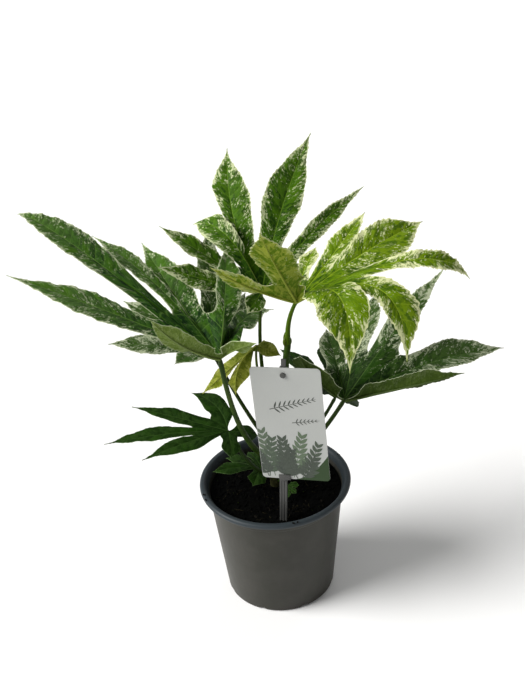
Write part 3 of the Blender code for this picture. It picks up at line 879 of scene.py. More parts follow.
    def build(self) -> bpy.types.Object:
        """Grow the leaf.

        Returns:
            The finished leaf, which stands for its solid.
        """
        chance = np.random.default_rng(self.seed)
        finish = self.look.value
        ribs = [self.rib(lobe, normal) for lobe, normal in zip(self.lobes, self.normals())]
        halves = []
        for index in range(len(self.lobes)):
            margins = {side: self.margin(index, ribs, side) for side in (-1, 1)}
            rows = self.rows(index, margins, ribs[index].place)
            halves += [self.half(index, ribs, side, rows, margins[side], chance) for side in (-1, 1)]
        blade = join(f"{self.node}_grown", halves)
        move_points(blade, points_of(blade) + np.array(self.hub))
        weld(blade)
        blade.data.materials.append(leaf_material(finish, "top"))
        blade.data.materials.append(leaf_material(finish, "lower"))
        apply_modifier(
            blade, "SOLIDIFY", thickness=self.blade_thickness * MM, offset=-1, material_offset=1,
            material_offset_rim=0,
        )
        stalk_material = leaf_material(finish, "petiole")
        petiole = tubes("petiole", [self.stalk()], 3, stalk_material)
        veins = tubes("veins", self.raised_veins(ribs), 1, leaf_material(finish, "rib"))
        leaf = join(f"{self.node}_grown", [blade, petiole, veins])
        shade(leaf, 60)
        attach(leaf, BODY)
        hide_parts(self.node)
        return leaf


leaf_materials: dict[tuple[str, str], bpy.types.Material] = {}


def leaf_material(finish: LeafFinish, face: str) -> bpy.types.Material:
    """Return a leaf finish's material for its "top", "lower", "rib" or "petiole", made once."""
    key = (finish.name, face)
    if key not in leaf_materials:
        leaf_materials[key] = getattr(finish, face)()
    return leaf_materials[key]


LEAVES = (
    Leaf("leaf_left_large", LeafLook.GROWN, "leaf_variegated", (-47, -45, 329), (1, 0, 168), (-30, -34, 230),
         3.2, 0.32, 0.14, (
             Lobe((38, -25, 28), 20, 2, 0, 58, -0.05, 0.3, web=3.0),
             Lobe((58, 142, -24), 26, 10, 10, 0, -0.1, 0.2),
             Lobe((12, 105, 77), 28, 6, skew=-0.25, web=1.22),
             Lobe((-79, 135, 71), 36, 5, 3, 0, -0.15),
             Lobe((-129, 125, 87), 38, 12),
             Lobe((-194, 95, 128), 38, 9, 0, 8, -0.12, 0.3, 0.92),
             Lobe((-194, 10, 100), 48, 3, 0, 13, 0.15, 0.42),
             Lobe((-58, -45, 72), 26, -7, 0, -35, 0.1),
         ), (2, -10, 11), seed=11),
    Leaf("leaf_top", LeafLook.BRIGHT, "leaf_variegated", (-1, 38, 357), (6, -4, 212), (-6, 9, 284),
         2.2, 0.28, 0.12, (
             Lobe((116, 62, 86), 18, 8, 6),
             Lobe((63, 82, 142), 40, 8, 6, 0, 0.12, 0.4),
             Lobe((-26, 77, 133), 42, 8, 9, widest=0.52),
             Lobe((-69, 62, 56), 36, 36, -4, crest=0.6, spread=1.3),
             Lobe((-102, 27, 71), 32, 3, 2),
             Lobe((-104, -13, 43), 28, -2),
             Lobe((-17, -28, -10), 22, 4),
         ), seed=12),
    Leaf("leaf_young_right", LeafLook.YOUNG, "leaf_young", (32, -30, 378), (22, -18, 325), (24, -21, 352),
         2.5, 0.38, 0.12, (
             Lobe((42, -85, -35), 48, 50, 12, 0, -0.08, 0.38, spread=1.7),
             Lobe((97, -70, -35), 32, 50, 25, 0, 0.3, 0.5, 0.7),
             Lobe((165, -15, 19), 18, 43, 6, widest=0.5, crest=0.82),
             Lobe((130, 45, 56), 44, 12, 0, 0, -0.05, 0.55, spread=1.5),
             Lobe((75, 60, 64), 24, 4, -3),
             Lobe((25, 55, 32), 24, 6),
             Lobe((-11, 50, 20), 24, 6),
             Lobe((-80, -20, 52), 20, -4, 0, -40),
             Lobe((-32, -55, 97), 42, 4, -3, 0, -0.05, 0.3),
         ), (6, -6, 20), sheath=0.0, tooth=1.8, seed=13),
    Leaf("leaf_right", LeafLook.COOL, "leaf_variegated", (78, -20, 254), (1, 0, 146), (42, -6, 190),
         2.8, 0.42, 0.14, (
             Lobe((114, -45, 51), 18, -1, 0, 58, -0.6),
             Lobe((175, 35, 29), 38, 14, skew=0.2),
             Lobe((118, 80, 107), 27, 6, widest=0.22),
             Lobe((49, 105, 70), 36, 6),
             Lobe((-10, 95, 34), 32, 4),
             Lobe((-46, -25, 72), 50, -6, 0, -45),
         ), seed=14),
    Leaf("leaf_back_right", LeafLook.GREEN, "leaf_green", (72, 15, 236), (1, 0, 158), (38, 8, 186),
         2.4, 0.32, 0.1, (
             Lobe((29, 25, -27), 20, 2),
             Lobe((-8, 80, 24), 30, 4),
             Lobe((-57, 55, 33), 32, 4),
             Lobe((-70, -5, 40), 30, 4),
         ), seed=15),
    Leaf("leaf_low_left", LeafLook.GREEN, "leaf_green", (-47, -15, 221), (1, 0, 152), (-22, -14, 170),
         2.4, 0.36, 0.08, (
             Lobe((-39, 45, 23), 25, 3, -9, widest=0.3),
             Lobe((-102, 20, 26), 17, 1, 0, 0, -0.2, 0.25),
             Lobe((-130, -20, 7), 18, 6, 0, 0, -0.2, 0.35),
             Lobe((-88, -50, 5), 26, 4, widest=0.12),
             Lobe((2, -30, -15), 22, 3),
             Lobe((32, 12, -18), 18, 3),
         ), tooth=0.4, ripple=0.5, seed=16),
    Leaf("leaf_back_left", LeafLook.COOL, "leaf_variegated", (-59, 45, 285), (3, -2, 182), (-26, 18, 222),
         2.4, 0.35, 0.1, (
             Lobe((40, 60, 40), 28, 4),
             Lobe((2, 85, 113), 28, 4),
             Lobe((-94, 35, 52), 30, 4),
             Lobe((-109, -15, 27), 30, 3),
             Lobe((-38, -45, 14), 28, 4),
         ), seed=17),
    Leaf("leaf_young_hanging", LeafLook.BUDDING, "leaf_young", (-10, -5, 318), (7, -6, 228), (-9, -4, 275),
         1.6, 0.25, 0.1, (
             Lobe((25, 18, -25), 16, 4),
             Lobe((-25, -14, -50), 27, 4, 8),
             Lobe((-61, 4, -57), 18),
         ), row_pitch=0.9, tooth=0.9, seed=18),
    Leaf("leaf_soil_left", LeafLook.GREEN, "leaf_green", (-15, 8, 154), (0, 0, 137), (-6, 5, 150),
         1.8, 0.36, 0.08, (
             Lobe((-14, 24, 4), 14, 2),
             Lobe((-39, 8, 9), 16, 2),
             Lobe((-54, -18, 10), 16, 3),
             Lobe((-10, -26, -7), 22, 2),
         ), row_pitch=0.9, tooth=1.2, ripple=0.6, seed=19),
    Leaf("leaf_soil_right", LeafLook.GREEN, "leaf_green", (12, -20, 146), (1, -1, 138), (7, -11, 146),
         1.2, 0.5, 0.06, (
             Lobe((1, -16, -4), 8, 1),
             Lobe((10, -12, -2), 7, 1),
             Lobe((14, -3, 2), 8, 1),
         ), row_pitch=0.6, tooth=0.6, ripple=0.3, seed=20),
)


@dataclass
class Stem:
    """The woody shoot, with a swelling and a ring where each leaf grows from it."""

    path: tuple[tuple[float, float, float], ...] = (
        (0, 0, 119.5), (1, 0, 150), (5, -4, 200), (11, -9, 250), (18, -14, 295), (22, -18, 326.5),
    )
    foot_radius: float = 6.9
    top_radius: float = 3.3
    nodes: tuple[float, ...] = (140, 148, 158, 169, 184, 198, 213, 230, 247, 263, 280, 296, 311, 322)

    def finish(self) -> bpy.types.Material:
        """Return young bark: green-brown, browner toward the foot, with fine long cracks."""
        shader = Shader("stem_bark", 0.62, 0.15)
        place = shader.place()
        height = shader.dot(place, Vector((0, 0, 1)))
        fibre = shader.noise(place, 260.0, 4.0, 0.6)
        patch = shader.noise(place, 45.0, 3.0)
        woody = 1 - shader.smooth(height + (patch - 0.5) * 0.08, 0.15, 0.27)
        color = shader.mix(woody, tone(50, 76, 10), tone(58, 58, 30))
        color = shader.mix(shader.smooth(fibre, 0.42, 0.7) * (woody * 0.35 + 0.2), color, tone(34, 40, 16))
        shader.bump(fibre, 0.0005, 0.7)
        return shader.finish(color, fibre * 0.25 + 0.5)

    def build(self) -> list[bpy.types.Object]:
        """Make the stem and the bud at its end.

        Returns:
            The stem and its bud.
        """
        knots = np.array(self.path, float)
        heights = np.linspace(knots[0, 2], knots[-1, 2], 120)
        line = np.stack([np.interp(heights, knots[:, 2], knots[:, axis]) for axis in range(3)], axis=1)
        kernel = np.ones(9) / 9
        for axis in (0, 1):
            padded = np.pad(line[:, axis], 4, mode="edge")
            line[:, axis] = np.convolve(padded, kernel, mode="valid")
        share = (heights - heights[0]) / (heights[-1] - heights[0])
        radii = self.foot_radius + (self.top_radius - self.foot_radius) * share ** 0.8
        for node in self.nodes:
            swelling = 0.5 * np.exp(-((heights - node) / 2.6) ** 2)
            scar = 0.25 * np.exp(-((heights - node - 3) / 1.0) ** 2)
            radii += (swelling - scar) * (1 - 0.6 * share)
        radii[-1] *= 0.7
        stem = tubes("stem_bark", [Strand(line, radii)], 5, self.finish())
        shade(stem, 50)
        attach(stem, BODY)
        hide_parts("stem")
        return [stem, self.bud(line[-1])]

    def bud(self, top: np.ndarray) -> bpy.types.Object:
        """Make the pointed bud beside the last petiole.

        Args:
            top: The stem's end.

        Returns:
            The bud, of three scales.
        """
        scales = []
        for turn, lean, length in ((2.2, 2.4, 15), (3.6, 2.0, 11), (0.9, 2.2, 9)):
            shares = np.linspace(0, 1, 12)
            out = np.array([math.cos(turn), math.sin(turn), 0.0])
            path = top + out * (lean + 1.5 * np.sin(np.pi * shares))[:, None]
            path = path + np.array([0, 0, 1.0]) * (shares * length - 4)[:, None]
            scales.append(Strand(path, 2.0 * np.sin(np.pi * (0.25 + 0.75 * shares)) ** 0.7 + 0.15))
        bud = tubes("stem_bud", scales, 3, leaf_material(LeafLook.BUDDING.value, "petiole"))
        shade(bud, 60)
        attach(bud, BODY)
        return bud


@dataclass
class Pot:
    """The turned plastic pot, with a rolled lip, a step below it and notches round its foot."""

    height: float = 144.2
    lip_radius: float = 85.0
    neck_radius: float = 76.0
    base_radius: float = 62.4
    floor_radius: float = 60.4
    wall: float = 1.5
    step_drop: float = 16.0
    step_depth: float = 0.8
    lip_drop: float = 8.5
    notch_count: int = 8
    notch_radius: float = 9.0
    notch_rise: float = 3.2
    notch_place: float = 64.0
    notch_length: float = 24.0
    turn_steps: int = 192

    def finish(self) -> bpy.types.Material:
        """Return moulded plastic: taupe-grey, slate blue-grey on the lip, with scuffs, and darker brownish
        patches toward the foot.
        """
        shader = Shader("pot_plastic", 0.5, 0.2)
        place = shader.place()
        height = shader.dot(place, Vector((0, 0, 1)))
        stretched = shader.drawn(place, 0.25)
        cloud = shader.noise(place, 28.0, 4.0, 0.6)
        scuff = shader.noise(stretched, 240.0, 5.0, 0.7)
        grain = shader.noise(place, 1400.0, 2.0)
        lip = shader.smooth(height, (self.height - 9) * MM, (self.height - 6.5) * MM)
        color = shader.mix(shader.smooth(cloud, 0.35, 0.7), tone(49, 49, 43), tone(57, 56, 51))
        color = shader.mix(lip, color, tone(48, 55, 59))
        color = shader.mix(shader.smooth(scuff, 0.66, 0.8) * 0.3, color, tone(96, 95, 88))
        # Darker toward the foot: cloudy brownish patches over the lowest 2 cm.
        foot_darkening = (1 - shader.smooth(height, 0.0, 0.02)) * shader.smooth(cloud, 0.4, 0.7)
        color = shader.mix(foot_darkening * 0.3, color, tone(46, 43, 36))
        shader.bump(grain * 0.4 + scuff * 0.6, 0.00012, 0.5)
        return shader.finish(color, cloud * 0.2 + scuff * 0.15 + 0.26)

    def profile(self) -> list[tuple[float, float]]:
        """Return the wall's section as radius and height, down the outside and up the inside."""
        top, lip, neck = self.height, self.lip_radius, self.neck_radius
        step, lip_bottom = top - self.step_drop, top - self.lip_drop
        roll = [(lip - 3.2 + 3.2 * math.sin(turn), top - 3.2 + 3.2 * math.cos(turn))
                for turn in np.linspace(0, math.radians(125), 9)]
        under = [(lip - 3.2, top - 6.2), (lip - 5.4, top - 6.8), (neck + 1.2, lip_bottom + 0.2)]
        body = [(neck, lip_bottom - 2.2), (neck - 0.2, step + 0.9), (neck - 0.35, step + 0.3),
                (neck - self.step_depth, step - 0.2)]
        foot_wall = [
            (neck - self.step_depth + (self.base_radius - neck + self.step_depth) * share,
             step + (self.wall - step) * share)
            for share in np.linspace(0.08, 1, 10)
        ]
        floor = [(self.floor_radius + 0.7, 0.35), (self.floor_radius, 0), (0, 0), (0, self.wall),
                 (self.floor_radius - self.wall, self.wall), (self.base_radius - self.wall, self.wall * 2)]
        inside = [(neck - self.step_depth - self.wall, step), (neck - self.wall, step + 3),
                  (neck - self.wall + 0.3, lip_bottom), (neck + 1.5, top - 3.0),
                  (lip - 6.4, top - 1.2), (lip - 5.2, top - 0.35), (lip - 4.2, top - 0.05)]
        return roll + under + body + foot_wall + floor + inside

    def build(self) -> bpy.types.Object:
        """Spin the section and cut the notches.

        Returns:
            The finished pot.
        """
        section = self.profile()
        mesh = bpy.data.meshes.new("pot_shell")
        ends = [(index, (index + 1) % len(section)) for index in range(len(section))]
        mesh.from_pydata([(radius * MM, 0, height * MM) for radius, height in section], ends, [])
        pot = link("pot_shell", mesh)
        edit(pot)
        bpy.ops.mesh.spin(steps=self.turn_steps, angle=math.tau, center=(0, 0, 0), axis=(0, 0, 1))
        bpy.ops.object.mode_set(mode="OBJECT")
        weld(pot, 0.01)
        edit(pot)
        bpy.ops.mesh.dissolve_degenerate(threshold=0.000002)
        bpy.ops.mesh.select_all(action="SELECT")
        bpy.ops.mesh.normals_make_consistent(inside=False)
        bpy.ops.object.mode_set(mode="OBJECT")
        cutters = join("notches", [self.notch(index) for index in range(self.notch_count)])
        apply_modifier(pot, "BOOLEAN", operation="DIFFERENCE", solver="EXACT", object=cutters)
        bpy.data.objects.remove(cutters)
        dress(pot, self.finish())
        shade(pot, 32)
        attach(pot, BODY)
        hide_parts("pot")
        return pot

    def notch(self, index: int) -> bpy.types.Object:
        """Return the cutter of one notch in the foot."""
        turn = math.tau * (index + 0.5) / self.notch_count
        height = self.notch_rise - self.notch_radius
        middle = Vector((self.notch_place * math.cos(turn), self.notch_place * math.sin(turn), height)) * MM
        deselect()
        bpy.ops.mesh.primitive_cylinder_add(
            vertices=48, radius=self.notch_radius * MM, depth=self.notch_length * MM, location=middle,
            rotation=(0, math.pi / 2, turn),
        )
        return bpy.context.object


@dataclass
class Compost:
    """What fills the pot: a rough crust over the solid, with crumbs, fibres and flecks on it."""

    top: float = 131.0
    crown: float = 2.0
    radius: float = 73.0
    crust_lift: float = 0.9
    lump_size: float = 9.0
    lump_height: float = 1.1
    crumbs: int = 1500
    chips: int = 110
    fibres: int = 70
    moss: int = 46
    seed: int = 5
    lip_top: float = 144.3
    rim_specks: tuple[tuple[float, float], ...] = (
        (197, 82.6), (203, 83.4), (281, 83.2), (283.5, 82.4), (24, 82.8),
    )

    def finish(self, name: str, dark: Color, light: Color) -> bpy.types.Material:
        """Return moist peat between two tones."""
        shader = Shader(name, 0.85, 0.03)
        place = shader.place()
        lump = shader.noise(place, 420.0, 5.0, 0.7)
        patch = shader.noise(place, 60.0, 3.0)
        color = shader.mix(shader.smooth(lump + (patch - 0.5) * 0.4, 0.42, 0.75), dark, light)
        shader.bump(lump, 0.0012, 0.9)
        return shader.finish(color, lump * 0.4 + 0.55)

    def surface(self, x: float, y: float) -> float:
        """Return the crust's height at a place on it."""
        radius = math.hypot(x, y)
        swell = self.crown * max(0.0, 1 - (radius / self.radius) ** 2)
        lump = noise.fractal(Vector((x / self.lump_size, y / self.lump_size, 1.7)), 0.7, 2.2, 5)
        rough = lump * self.lump_height
        return self.top + self.crust_lift + swell + rough * min(1.0, max(0.0, (self.radius - radius) / 4))

    def crust(self, material: bpy.types.Material) -> bpy.types.Object:
        """Return the crust, a round sheet with the roughness of loose peat."""
        rings, sectors = 56, 150
        made, column, row = grid("compost_crust", sectors, rings)
        turn, radius = column / sectors * math.tau, row / rings * self.radius
        x, y = radius * np.cos(turn), radius * np.sin(turn)
        z = np.array([self.surface(a, b) for a, b in zip(x, y)])
        move_points(made, np.stack([x, y, z], axis=1))
        weld(made, 0.02, recalculate=True)
        made.data.materials.append(material)
        if np.mean([face.normal.z for face in made.data.polygons]) < 0:
            made.data.flip_normals()
        apply_modifier(made, "SOLIDIFY", thickness=0.6 * MM, offset=-1)
        shade(made, 70)
        return made

    def scatter(self, name: str, count: int, sizes: tuple[float, float], flat: float,
                material: bpy.types.Material, chance: np.random.Generator) -> bpy.types.Object:
        """Scatter rough grains over the crust.

        Args:
            name: The object's name.
            count: How many grains there are.
            sizes: The smallest and largest radius.
            flat: The share of their width that they are high.
            material: What they are made of.
            chance: The source of random numbers.

        Returns:
            The grains, as one object.
        """
        deselect()
        bpy.ops.mesh.primitive_ico_sphere_add(subdivisions=1, radius=1.0)
        seed_grain = bpy.context.object
        ball = points_of(seed_grain) * MM
        faces = np.array([list(face.vertices) for face in seed_grain.data.polygons])
        bpy.data.objects.remove(seed_grain)
        places, corners = [], []
        spots = [(math.sqrt(chance.uniform(0, 1)) * (self.radius - 3), chance.uniform(0, math.tau))
                 for _ in range(count)]
        for index, (radius, turn) in enumerate(spots):
            size = sizes[0] + (sizes[1] - sizes[0]) * chance.uniform(0, 1) ** 3
            x, y = radius * math.cos(turn), radius * math.sin(turn)
            shape = ball * chance.uniform(0.6, 1.3, ball.shape) * (1, chance.uniform(0.5, 1), flat) * size
            turned = shape @ np.array(Euler(chance.uniform(-0.5, 0.5, 3) + (0, 0, turn * 3)).to_matrix())
            places.append(turned + (x, y, self.surface(x, y) + size * flat * 0.3))
            corners.append(faces + index * len(ball))
        mesh = bpy.data.meshes.new(name)
        mesh.from_pydata((np.concatenate(places) * MM).tolist(), [], np.concatenate(corners).tolist())
        made = link(name, mesh)
        made.data.materials.append(material)
        shade(made, 80)
        return made

    def threads(self, material: bpy.types.Material, chance: np.random.Generator) -> bpy.types.Object:
        """Return the root fibres and straws that lie on the crust."""
        strands = []
        for _ in range(self.fibres):
            radius, turn = math.sqrt(chance.uniform(0, 1)) * (self.radius - 8), chance.uniform(0, math.tau)
            heading, length = chance.uniform(0, math.tau), chance.uniform(3, 10)
            bend = chance.uniform(-0.9, 0.9)
            path = []
            for share in np.linspace(0, 1, 7):
                angle = heading + bend * share
                x = radius * math.cos(turn) + length * share * math.cos(angle)
                y = radius * math.sin(turn) + length * share * math.sin(angle)
                rise = math.sin(math.pi * share) * chance.uniform(0, 0.8)
                path.append((x, y, self.surface(x, y) + 0.35 + rise))
            strands.append(Strand(np.array(path), np.full(7, chance.uniform(0.12, 0.3))))
        return tubes("compost_fibres", strands, 0, material)

    def specks(self, material: bpy.types.Material, chance: np.random.Generator) -> bpy.types.Object:
        """Return the few crumbs that lie on the pot's lip."""
        grains = []
        for degrees, radius in self.rim_specks:
            turn = math.radians(degrees)
            for _ in range(3):
                at = Vector((radius * math.cos(turn), radius * math.sin(turn), self.lip_top))
                at += Vector(chance.uniform(-1.3, 1.3, 3) * (1, 1, 0.15))
                deselect()
                bpy.ops.mesh.primitive_ico_sphere_add(
                    subdivisions=2, radius=chance.uniform(0.4, 1.0) * MM, location=at * MM,
                )
                grain = bpy.context.object
                bpy.ops.object.transform_apply()
                jitter = chance.normal(0, 0.08, (len(grain.data.vertices), 3))
                move_points(grain, points_of(grain) + jitter)
                grains.append(grain)
        made = join("compost_specks", grains)
        made.data.materials.append(material)
        return made

    def build(self) -> list[bpy.types.Object]:
        """Fill the pot.

        Returns:
            The crust and everything that lies on it.
        """
        chance = np.random.default_rng(self.seed)
        peat = self.finish("compost_peat", tone(2, 2, 2), tone(10, 11, 9))
        bark = self.finish("compost_bark", tone(12, 11, 9), tone(38, 34, 27))
        moss = self.finish("compost_moss", tone(18, 26, 8), tone(48, 58, 22))
        straw = self.finish("compost_straw", tone(40, 36, 24), tone(74, 68, 48))
        dress(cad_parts["soil"], peat)
        made = [
            self.crust(peat),
            self.scatter("compost_crumbs", self.crumbs, (0.6, 2.4), 0.7, peat, chance),
            self.scatter("compost_chips", self.chips, (0.8, 3.0), 0.35, bark, chance),
            self.scatter("compost_moss", self.moss, (0.5, 1.6), 0.8, moss, chance),
            self.threads(straw, chance),
            self.specks(bark, chance),
        ]
        for piece in made:
            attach(piece, BODY)
        return made


@dataclass(frozen=True)
class Sprig:
    """A printed sprig: its foot on the card, its heading from upright, and its leaflets."""

    foot: tuple[float, float]
    heading: float
    length: float
    pairs: int
    leaflet: float
    ink: Color
    slimness: float = 0.2


@dataclass
class PlantLabel:
    """The card on its stake. The card has a plain green hill and printed sprigs."""

    place: tuple[float, float, float] = (14, -61, 314)
    turn: float = -17.0
    lean: float = 1.7
    card_spin: float = 3.3
    stake_spin: float = -2.3
    card_width: float = 72.0
    card_height: float = 132.0
    card_top: float = 8.0
    card_left: float = -34.0
    card_thickness: float = 0.8
    card_corner: float = 4.0
    print_margin: float = 0.4
    gap: float = 0.3
    stake_width: float = 8.0
    stake_thickness: float = 2.0
    stake_head: float = 17.0
    stake_foot: float = -193.0
    rib_depth: float = 1.0
    clip_width: float = 12.5
    clip_height: float = 5.5
    clip_thickness: float = 1.4
    button_radius: float = 3.0
    button_thickness: float = 1.6
    shank_radius: float = 1.8
    shank_length: float = 3.0
    head_width: float = 5.2
    rib_width: float = 2.0
    face_rib_rise: float = 0.55
    hill_start: float = 4.0
    hill_curve_per_m: float = 18.0
    hill_foot_m: float = 0.1245
    sprigs: tuple[Sprig, ...] = (
        Sprig((-18, -40), 74, 46, 9, 9, tone(30, 34, 30), 0.11),
        Sprig((4, -55), 82, 24, 6, 6, tone(30, 34, 30), 0.11),
        Sprig((-20, -121), -10, 52, 8, 17, tone(60, 76, 54)),
        Sprig((0, -122), 14, 50, 8, 17, tone(66, 84, 58)),
        Sprig((-26, -122), 8, 44, 7, 16, tone(36, 54, 32)),
        Sprig((-6, -122), -3, 44, 8, 17, tone(28, 42, 26)),
        Sprig((12, -122), 22, 42, 7, 15, tone(34, 50, 30)),
        Sprig((-27, -122), -16, 26, 6, 13, tone(22, 34, 22)),
        Sprig((-12, -123), 20, 34, 7, 15, tone(20, 32, 20)),
        Sprig((4, -123), -24, 28, 6, 13, tone(24, 36, 22)),
        Sprig((8, -123), 34, 28, 6, 13, tone(24, 36, 22)),
    )

    def frame(self, spin: float) -> Matrix:
        """Return the label's plane at its button, turned by an angle within the plane."""
        return (
            Matrix.Translation(Vector(self.place) * MM)
            @ Matrix.Rotation(math.radians(self.turn), 4, "Z")
            @ Matrix.Rotation(math.radians(-self.lean), 4, "X")
            @ Matrix.Rotation(math.radians(-spin), 4, "Y")
        )

    def card_finish(self) -> bpy.types.Material:
        """Return coated card: grey-white with faint fibres, and a green hill at the front's right foot."""
        shader = Shader("label_card_print", 0.45, 0.2)
        place = shader.place()
        turned = self.frame(self.card_spin).to_3x3()
        middle = Vector(self.place) * MM
        across = shader.dot(place, turned.col[0]) - middle.dot(turned.col[0])
        upward = shader.dot(place, turned.col[2]) - middle.dot(turned.col[2])
        fibre = shader.noise(place, 900.0, 3.0)
        cloud = shader.noise(place, 30.0, 2.0)
        climb = shader.math("MAXIMUM", across + self.hill_start * MM, 0.0)
        hill = climb * climb * self.hill_curve_per_m - self.hill_foot_m
        depth = shader.dot(place, turned.col[1]) - middle.dot(turned.col[1])
        front = 1 - shader.smooth(depth, 0.0002, 0.0006)
        green = (1 - shader.smooth(upward - hill, -0.0001, 0.0001)) * front
        color = shader.mix(fibre * 0.5 + cloud * 0.5, tone(156, 158, 155), tone(166, 168, 165))
        color = shader.mix(green, color, tone(44, 62, 36))
        shader.bump(fibre, 0.00004, 0.4)
        return shader.finish(color, fibre * 0.12 + 0.34)

    def stake_finish(self) -> bpy.types.Material:
        """Return the stake's plastic: mid grey, with fine drag lines."""
        shader = Shader("stake_plastic", 0.42, 0.25)
        place = shader.place()
        lines = shader.noise(shader.drawn(place, 0.05), 1500.0, 2.0)
        cloud = shader.noise(place, 60.0, 3.0)
        color = shader.mix(cloud, tone(58, 59, 56), tone(76, 76, 75))
        shader.bump(lines, 0.00006, 0.5)
        return shader.finish(color, lines * 0.2 + 0.28)

    def box(self, name: str, low: tuple[float, float, float], high: tuple[float, float, float],
            bevel: float) -> bpy.types.Object:
        """Make a box with rounded edges.

        Args:
            name: The object's name.
            low: Its lowest corner in the label's plane.
            high: Its highest corner.
            bevel: The radius of its edges.

        Returns:
            The box, still in the label's plane.
        """
        size, middle = (Vector(high) - Vector(low)) * MM, (Vector(high) + Vector(low)) / 2 * MM
        deselect()
        bpy.ops.mesh.primitive_cube_add(size=1, location=middle, scale=size)
        made = bpy.context.object
        made.name = name
        bpy.ops.object.transform_apply()
        apply_modifier(made, "BEVEL", width=bevel * MM, segments=2, limit_method="ANGLE")
        return made

    def pin(self, sides: int, radius: float, length: float, depth: float) -> bpy.types.Object:
        """Return a round pin square to the label's plane, with its middle at a depth behind it."""
        deselect()
        bpy.ops.mesh.primitive_cylinder_add(
            vertices=sides, radius=radius * MM, depth=length * MM, location=Vector((0, depth, 0)) * MM,
            rotation=(math.pi / 2, 0, 0),
        )
        bpy.ops.object.transform_apply()
        return bpy.context.object

    def stake(self) -> bpy.types.Object:
        """Make the stake with its ribs, grooved face, button and clip, in one."""
        front = self.card_thickness + self.gap
        back = front + self.stake_thickness
        half, half_head = self.stake_width / 2, self.head_width / 2
        parts = [
            self.box("stake", (-half, front, self.stake_foot), (half, back, self.card_top), 0.35),
            self.box("head", (-half_head, front + 0.1, self.card_top - 1),
                     (half_head, back, self.stake_head), 0.7),
        ]
        for left in (-half, half - self.rib_width):
            parts.append(self.box("rib", (left, front + 0.6, self.stake_foot),
                                  (left + self.rib_width, back + self.rib_depth, self.card_top), 0.3))
        for left, width in ((-half, 2.1), (-1.0, 2.0), (half - 2.1, 2.1)):
            parts.append(self.box("face_rib", (left, front - self.face_rib_rise, self.stake_foot),
                                  (left + width, front + 0.6, self.clip_bottom() - 2), 0.3))
        button = self.pin(48, self.button_radius, self.button_thickness, -self.gap - 0.8)
        apply_modifier(button, "BEVEL", width=0.6 * MM, segments=3, limit_method="ANGLE")
        parts += [button, self.pin(32, self.shank_radius, self.shank_length, 0.6)]
        for part in parts:
            part.data.transform(self.frame(self.stake_spin))
        made = join("label_stake_moulded", parts + self.clip())
        dress(made, self.stake_finish())
        shade(made, 35)
        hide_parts("label_stake")
        return made

    def clip_bottom(self) -> float:
        """Return the height of the card's lower edge, with its gap."""
        return self.card_top - self.card_height - self.gap

    def clip(self) -> list[bpy.types.Object]:
        """Return the lip under the card and the tab in front of it."""
        bottom = self.clip_bottom()
        left = bottom * math.sin(math.radians(self.card_spin - self.stake_spin)) - self.stake_width / 2
        front = -self.gap - self.clip_thickness
        lip = self.box("lip", (left + 1, front, bottom - self.clip_thickness),
                       (left + self.stake_width - 1, 2.1, bottom), 0.25)
        tab = self.box("tab", (left, front, bottom - self.clip_thickness / 2),
                       (left + self.clip_width, -self.gap, bottom + self.clip_height), 0.45)
        for part in (lip, tab):
            part.data.transform(self.frame(self.card_spin))
        return [lip, tab]

    def leaflet(self, length: float, slimness: float) -> bpy.types.Object:
        """Return one flat pointed leaflet that grows upward from the origin of the label's plane."""
        rows = 7
        made, column, row = grid("leaflet", 2, rows)
        share = row / rows
        half = slimness * length * np.sin(np.pi * share ** 0.85) ** 0.9
        move_points(made, np.stack([(column - 1) * half, np.zeros_like(half), share * length], axis=1))
        return made

    def sprig(self, layer: int, sprig: Sprig) -> bpy.types.Object:
        """Print one sprig.

        Args:
            layer: The number of sprigs printed before it, so that each lies on the last.
            sprig: Its sizes.

        Returns:
            The sprig, in the label's plane.
        """
        shader = Shader(f"label_ink_{layer}", 0.45)
        speck = shader.noise(shader.place(), 700.0, 3.0)
        ink = shader.finish(shader.mix(speck * 0.16, sprig.ink, tone(150, 160, 146)))
        parts = []
        for index in range(sprig.pairs):
            share = (index + 1) / sprig.pairs
            size = sprig.leaflet * (1 - 0.45 * share)
            for side in (-1, 1):
                leaflet = self.leaflet(size, sprig.slimness)
                tilt = math.radians(side * (58 - 26 * share))
                raised = Matrix.Translation(Vector((0, 0, share * sprig.length)) * MM)
                leaflet.data.transform(raised @ Matrix.Rotation(tilt, 4, "Y"))
                parts.append(leaflet)
        rows = 8
        stalk, column, row = grid("stalk", 1, rows)
        along = row / rows
        half = 0.45 - 0.3 * along
        across = (column - 0.5) * 2 * half
        move_points(stalk, np.stack([across, 0 * half, along * (sprig.length + 5)], axis=1))
        made = join(f"label_sprig_{layer}", parts + [stalk])
        turn = Matrix.Rotation(math.radians(sprig.heading), 4, "Y")
        place = Matrix.Translation(Vector((sprig.foot[0], -0.03 - 0.02 * layer, sprig.foot[1])) * MM)
        made.data.transform(place @ turn)
        made.data.update()
        self.trim(made)
        made.data.transform(self.frame(self.card_spin))
        made.data.update()
        made.data.materials.append(ink)
        return made

    def trim(self, printed: bpy.types.Object) -> None:
        """Cut away what lies past the card's edges and its two lower rounded corners."""
        left = self.card_left + self.print_margin
        right = self.card_left + self.card_width - self.print_margin
        bottom = self.card_top - self.card_height + self.print_margin
        inset = self.card_corner * (1 - math.sqrt(0.5))
        cuts = [
            ((left, 0, 0), (-1, 0, 0)), ((right, 0, 0), (1, 0, 0)), ((0, 0, bottom), (0, 0, -1)),
            ((left + inset, 0, bottom + inset), (-1, 0, -1)),
            ((right - inset, 0, bottom + inset), (1, 0, -1)),
        ]
        edit(printed)
        for place, outward in cuts:
            bpy.ops.mesh.select_all(action="SELECT")
            bpy.ops.mesh.bisect(
                plane_co=Vector(place) * MM, plane_no=outward, clear_outer=True, threshold=1e-6,
            )
        bpy.ops.object.mode_set(mode="OBJECT")

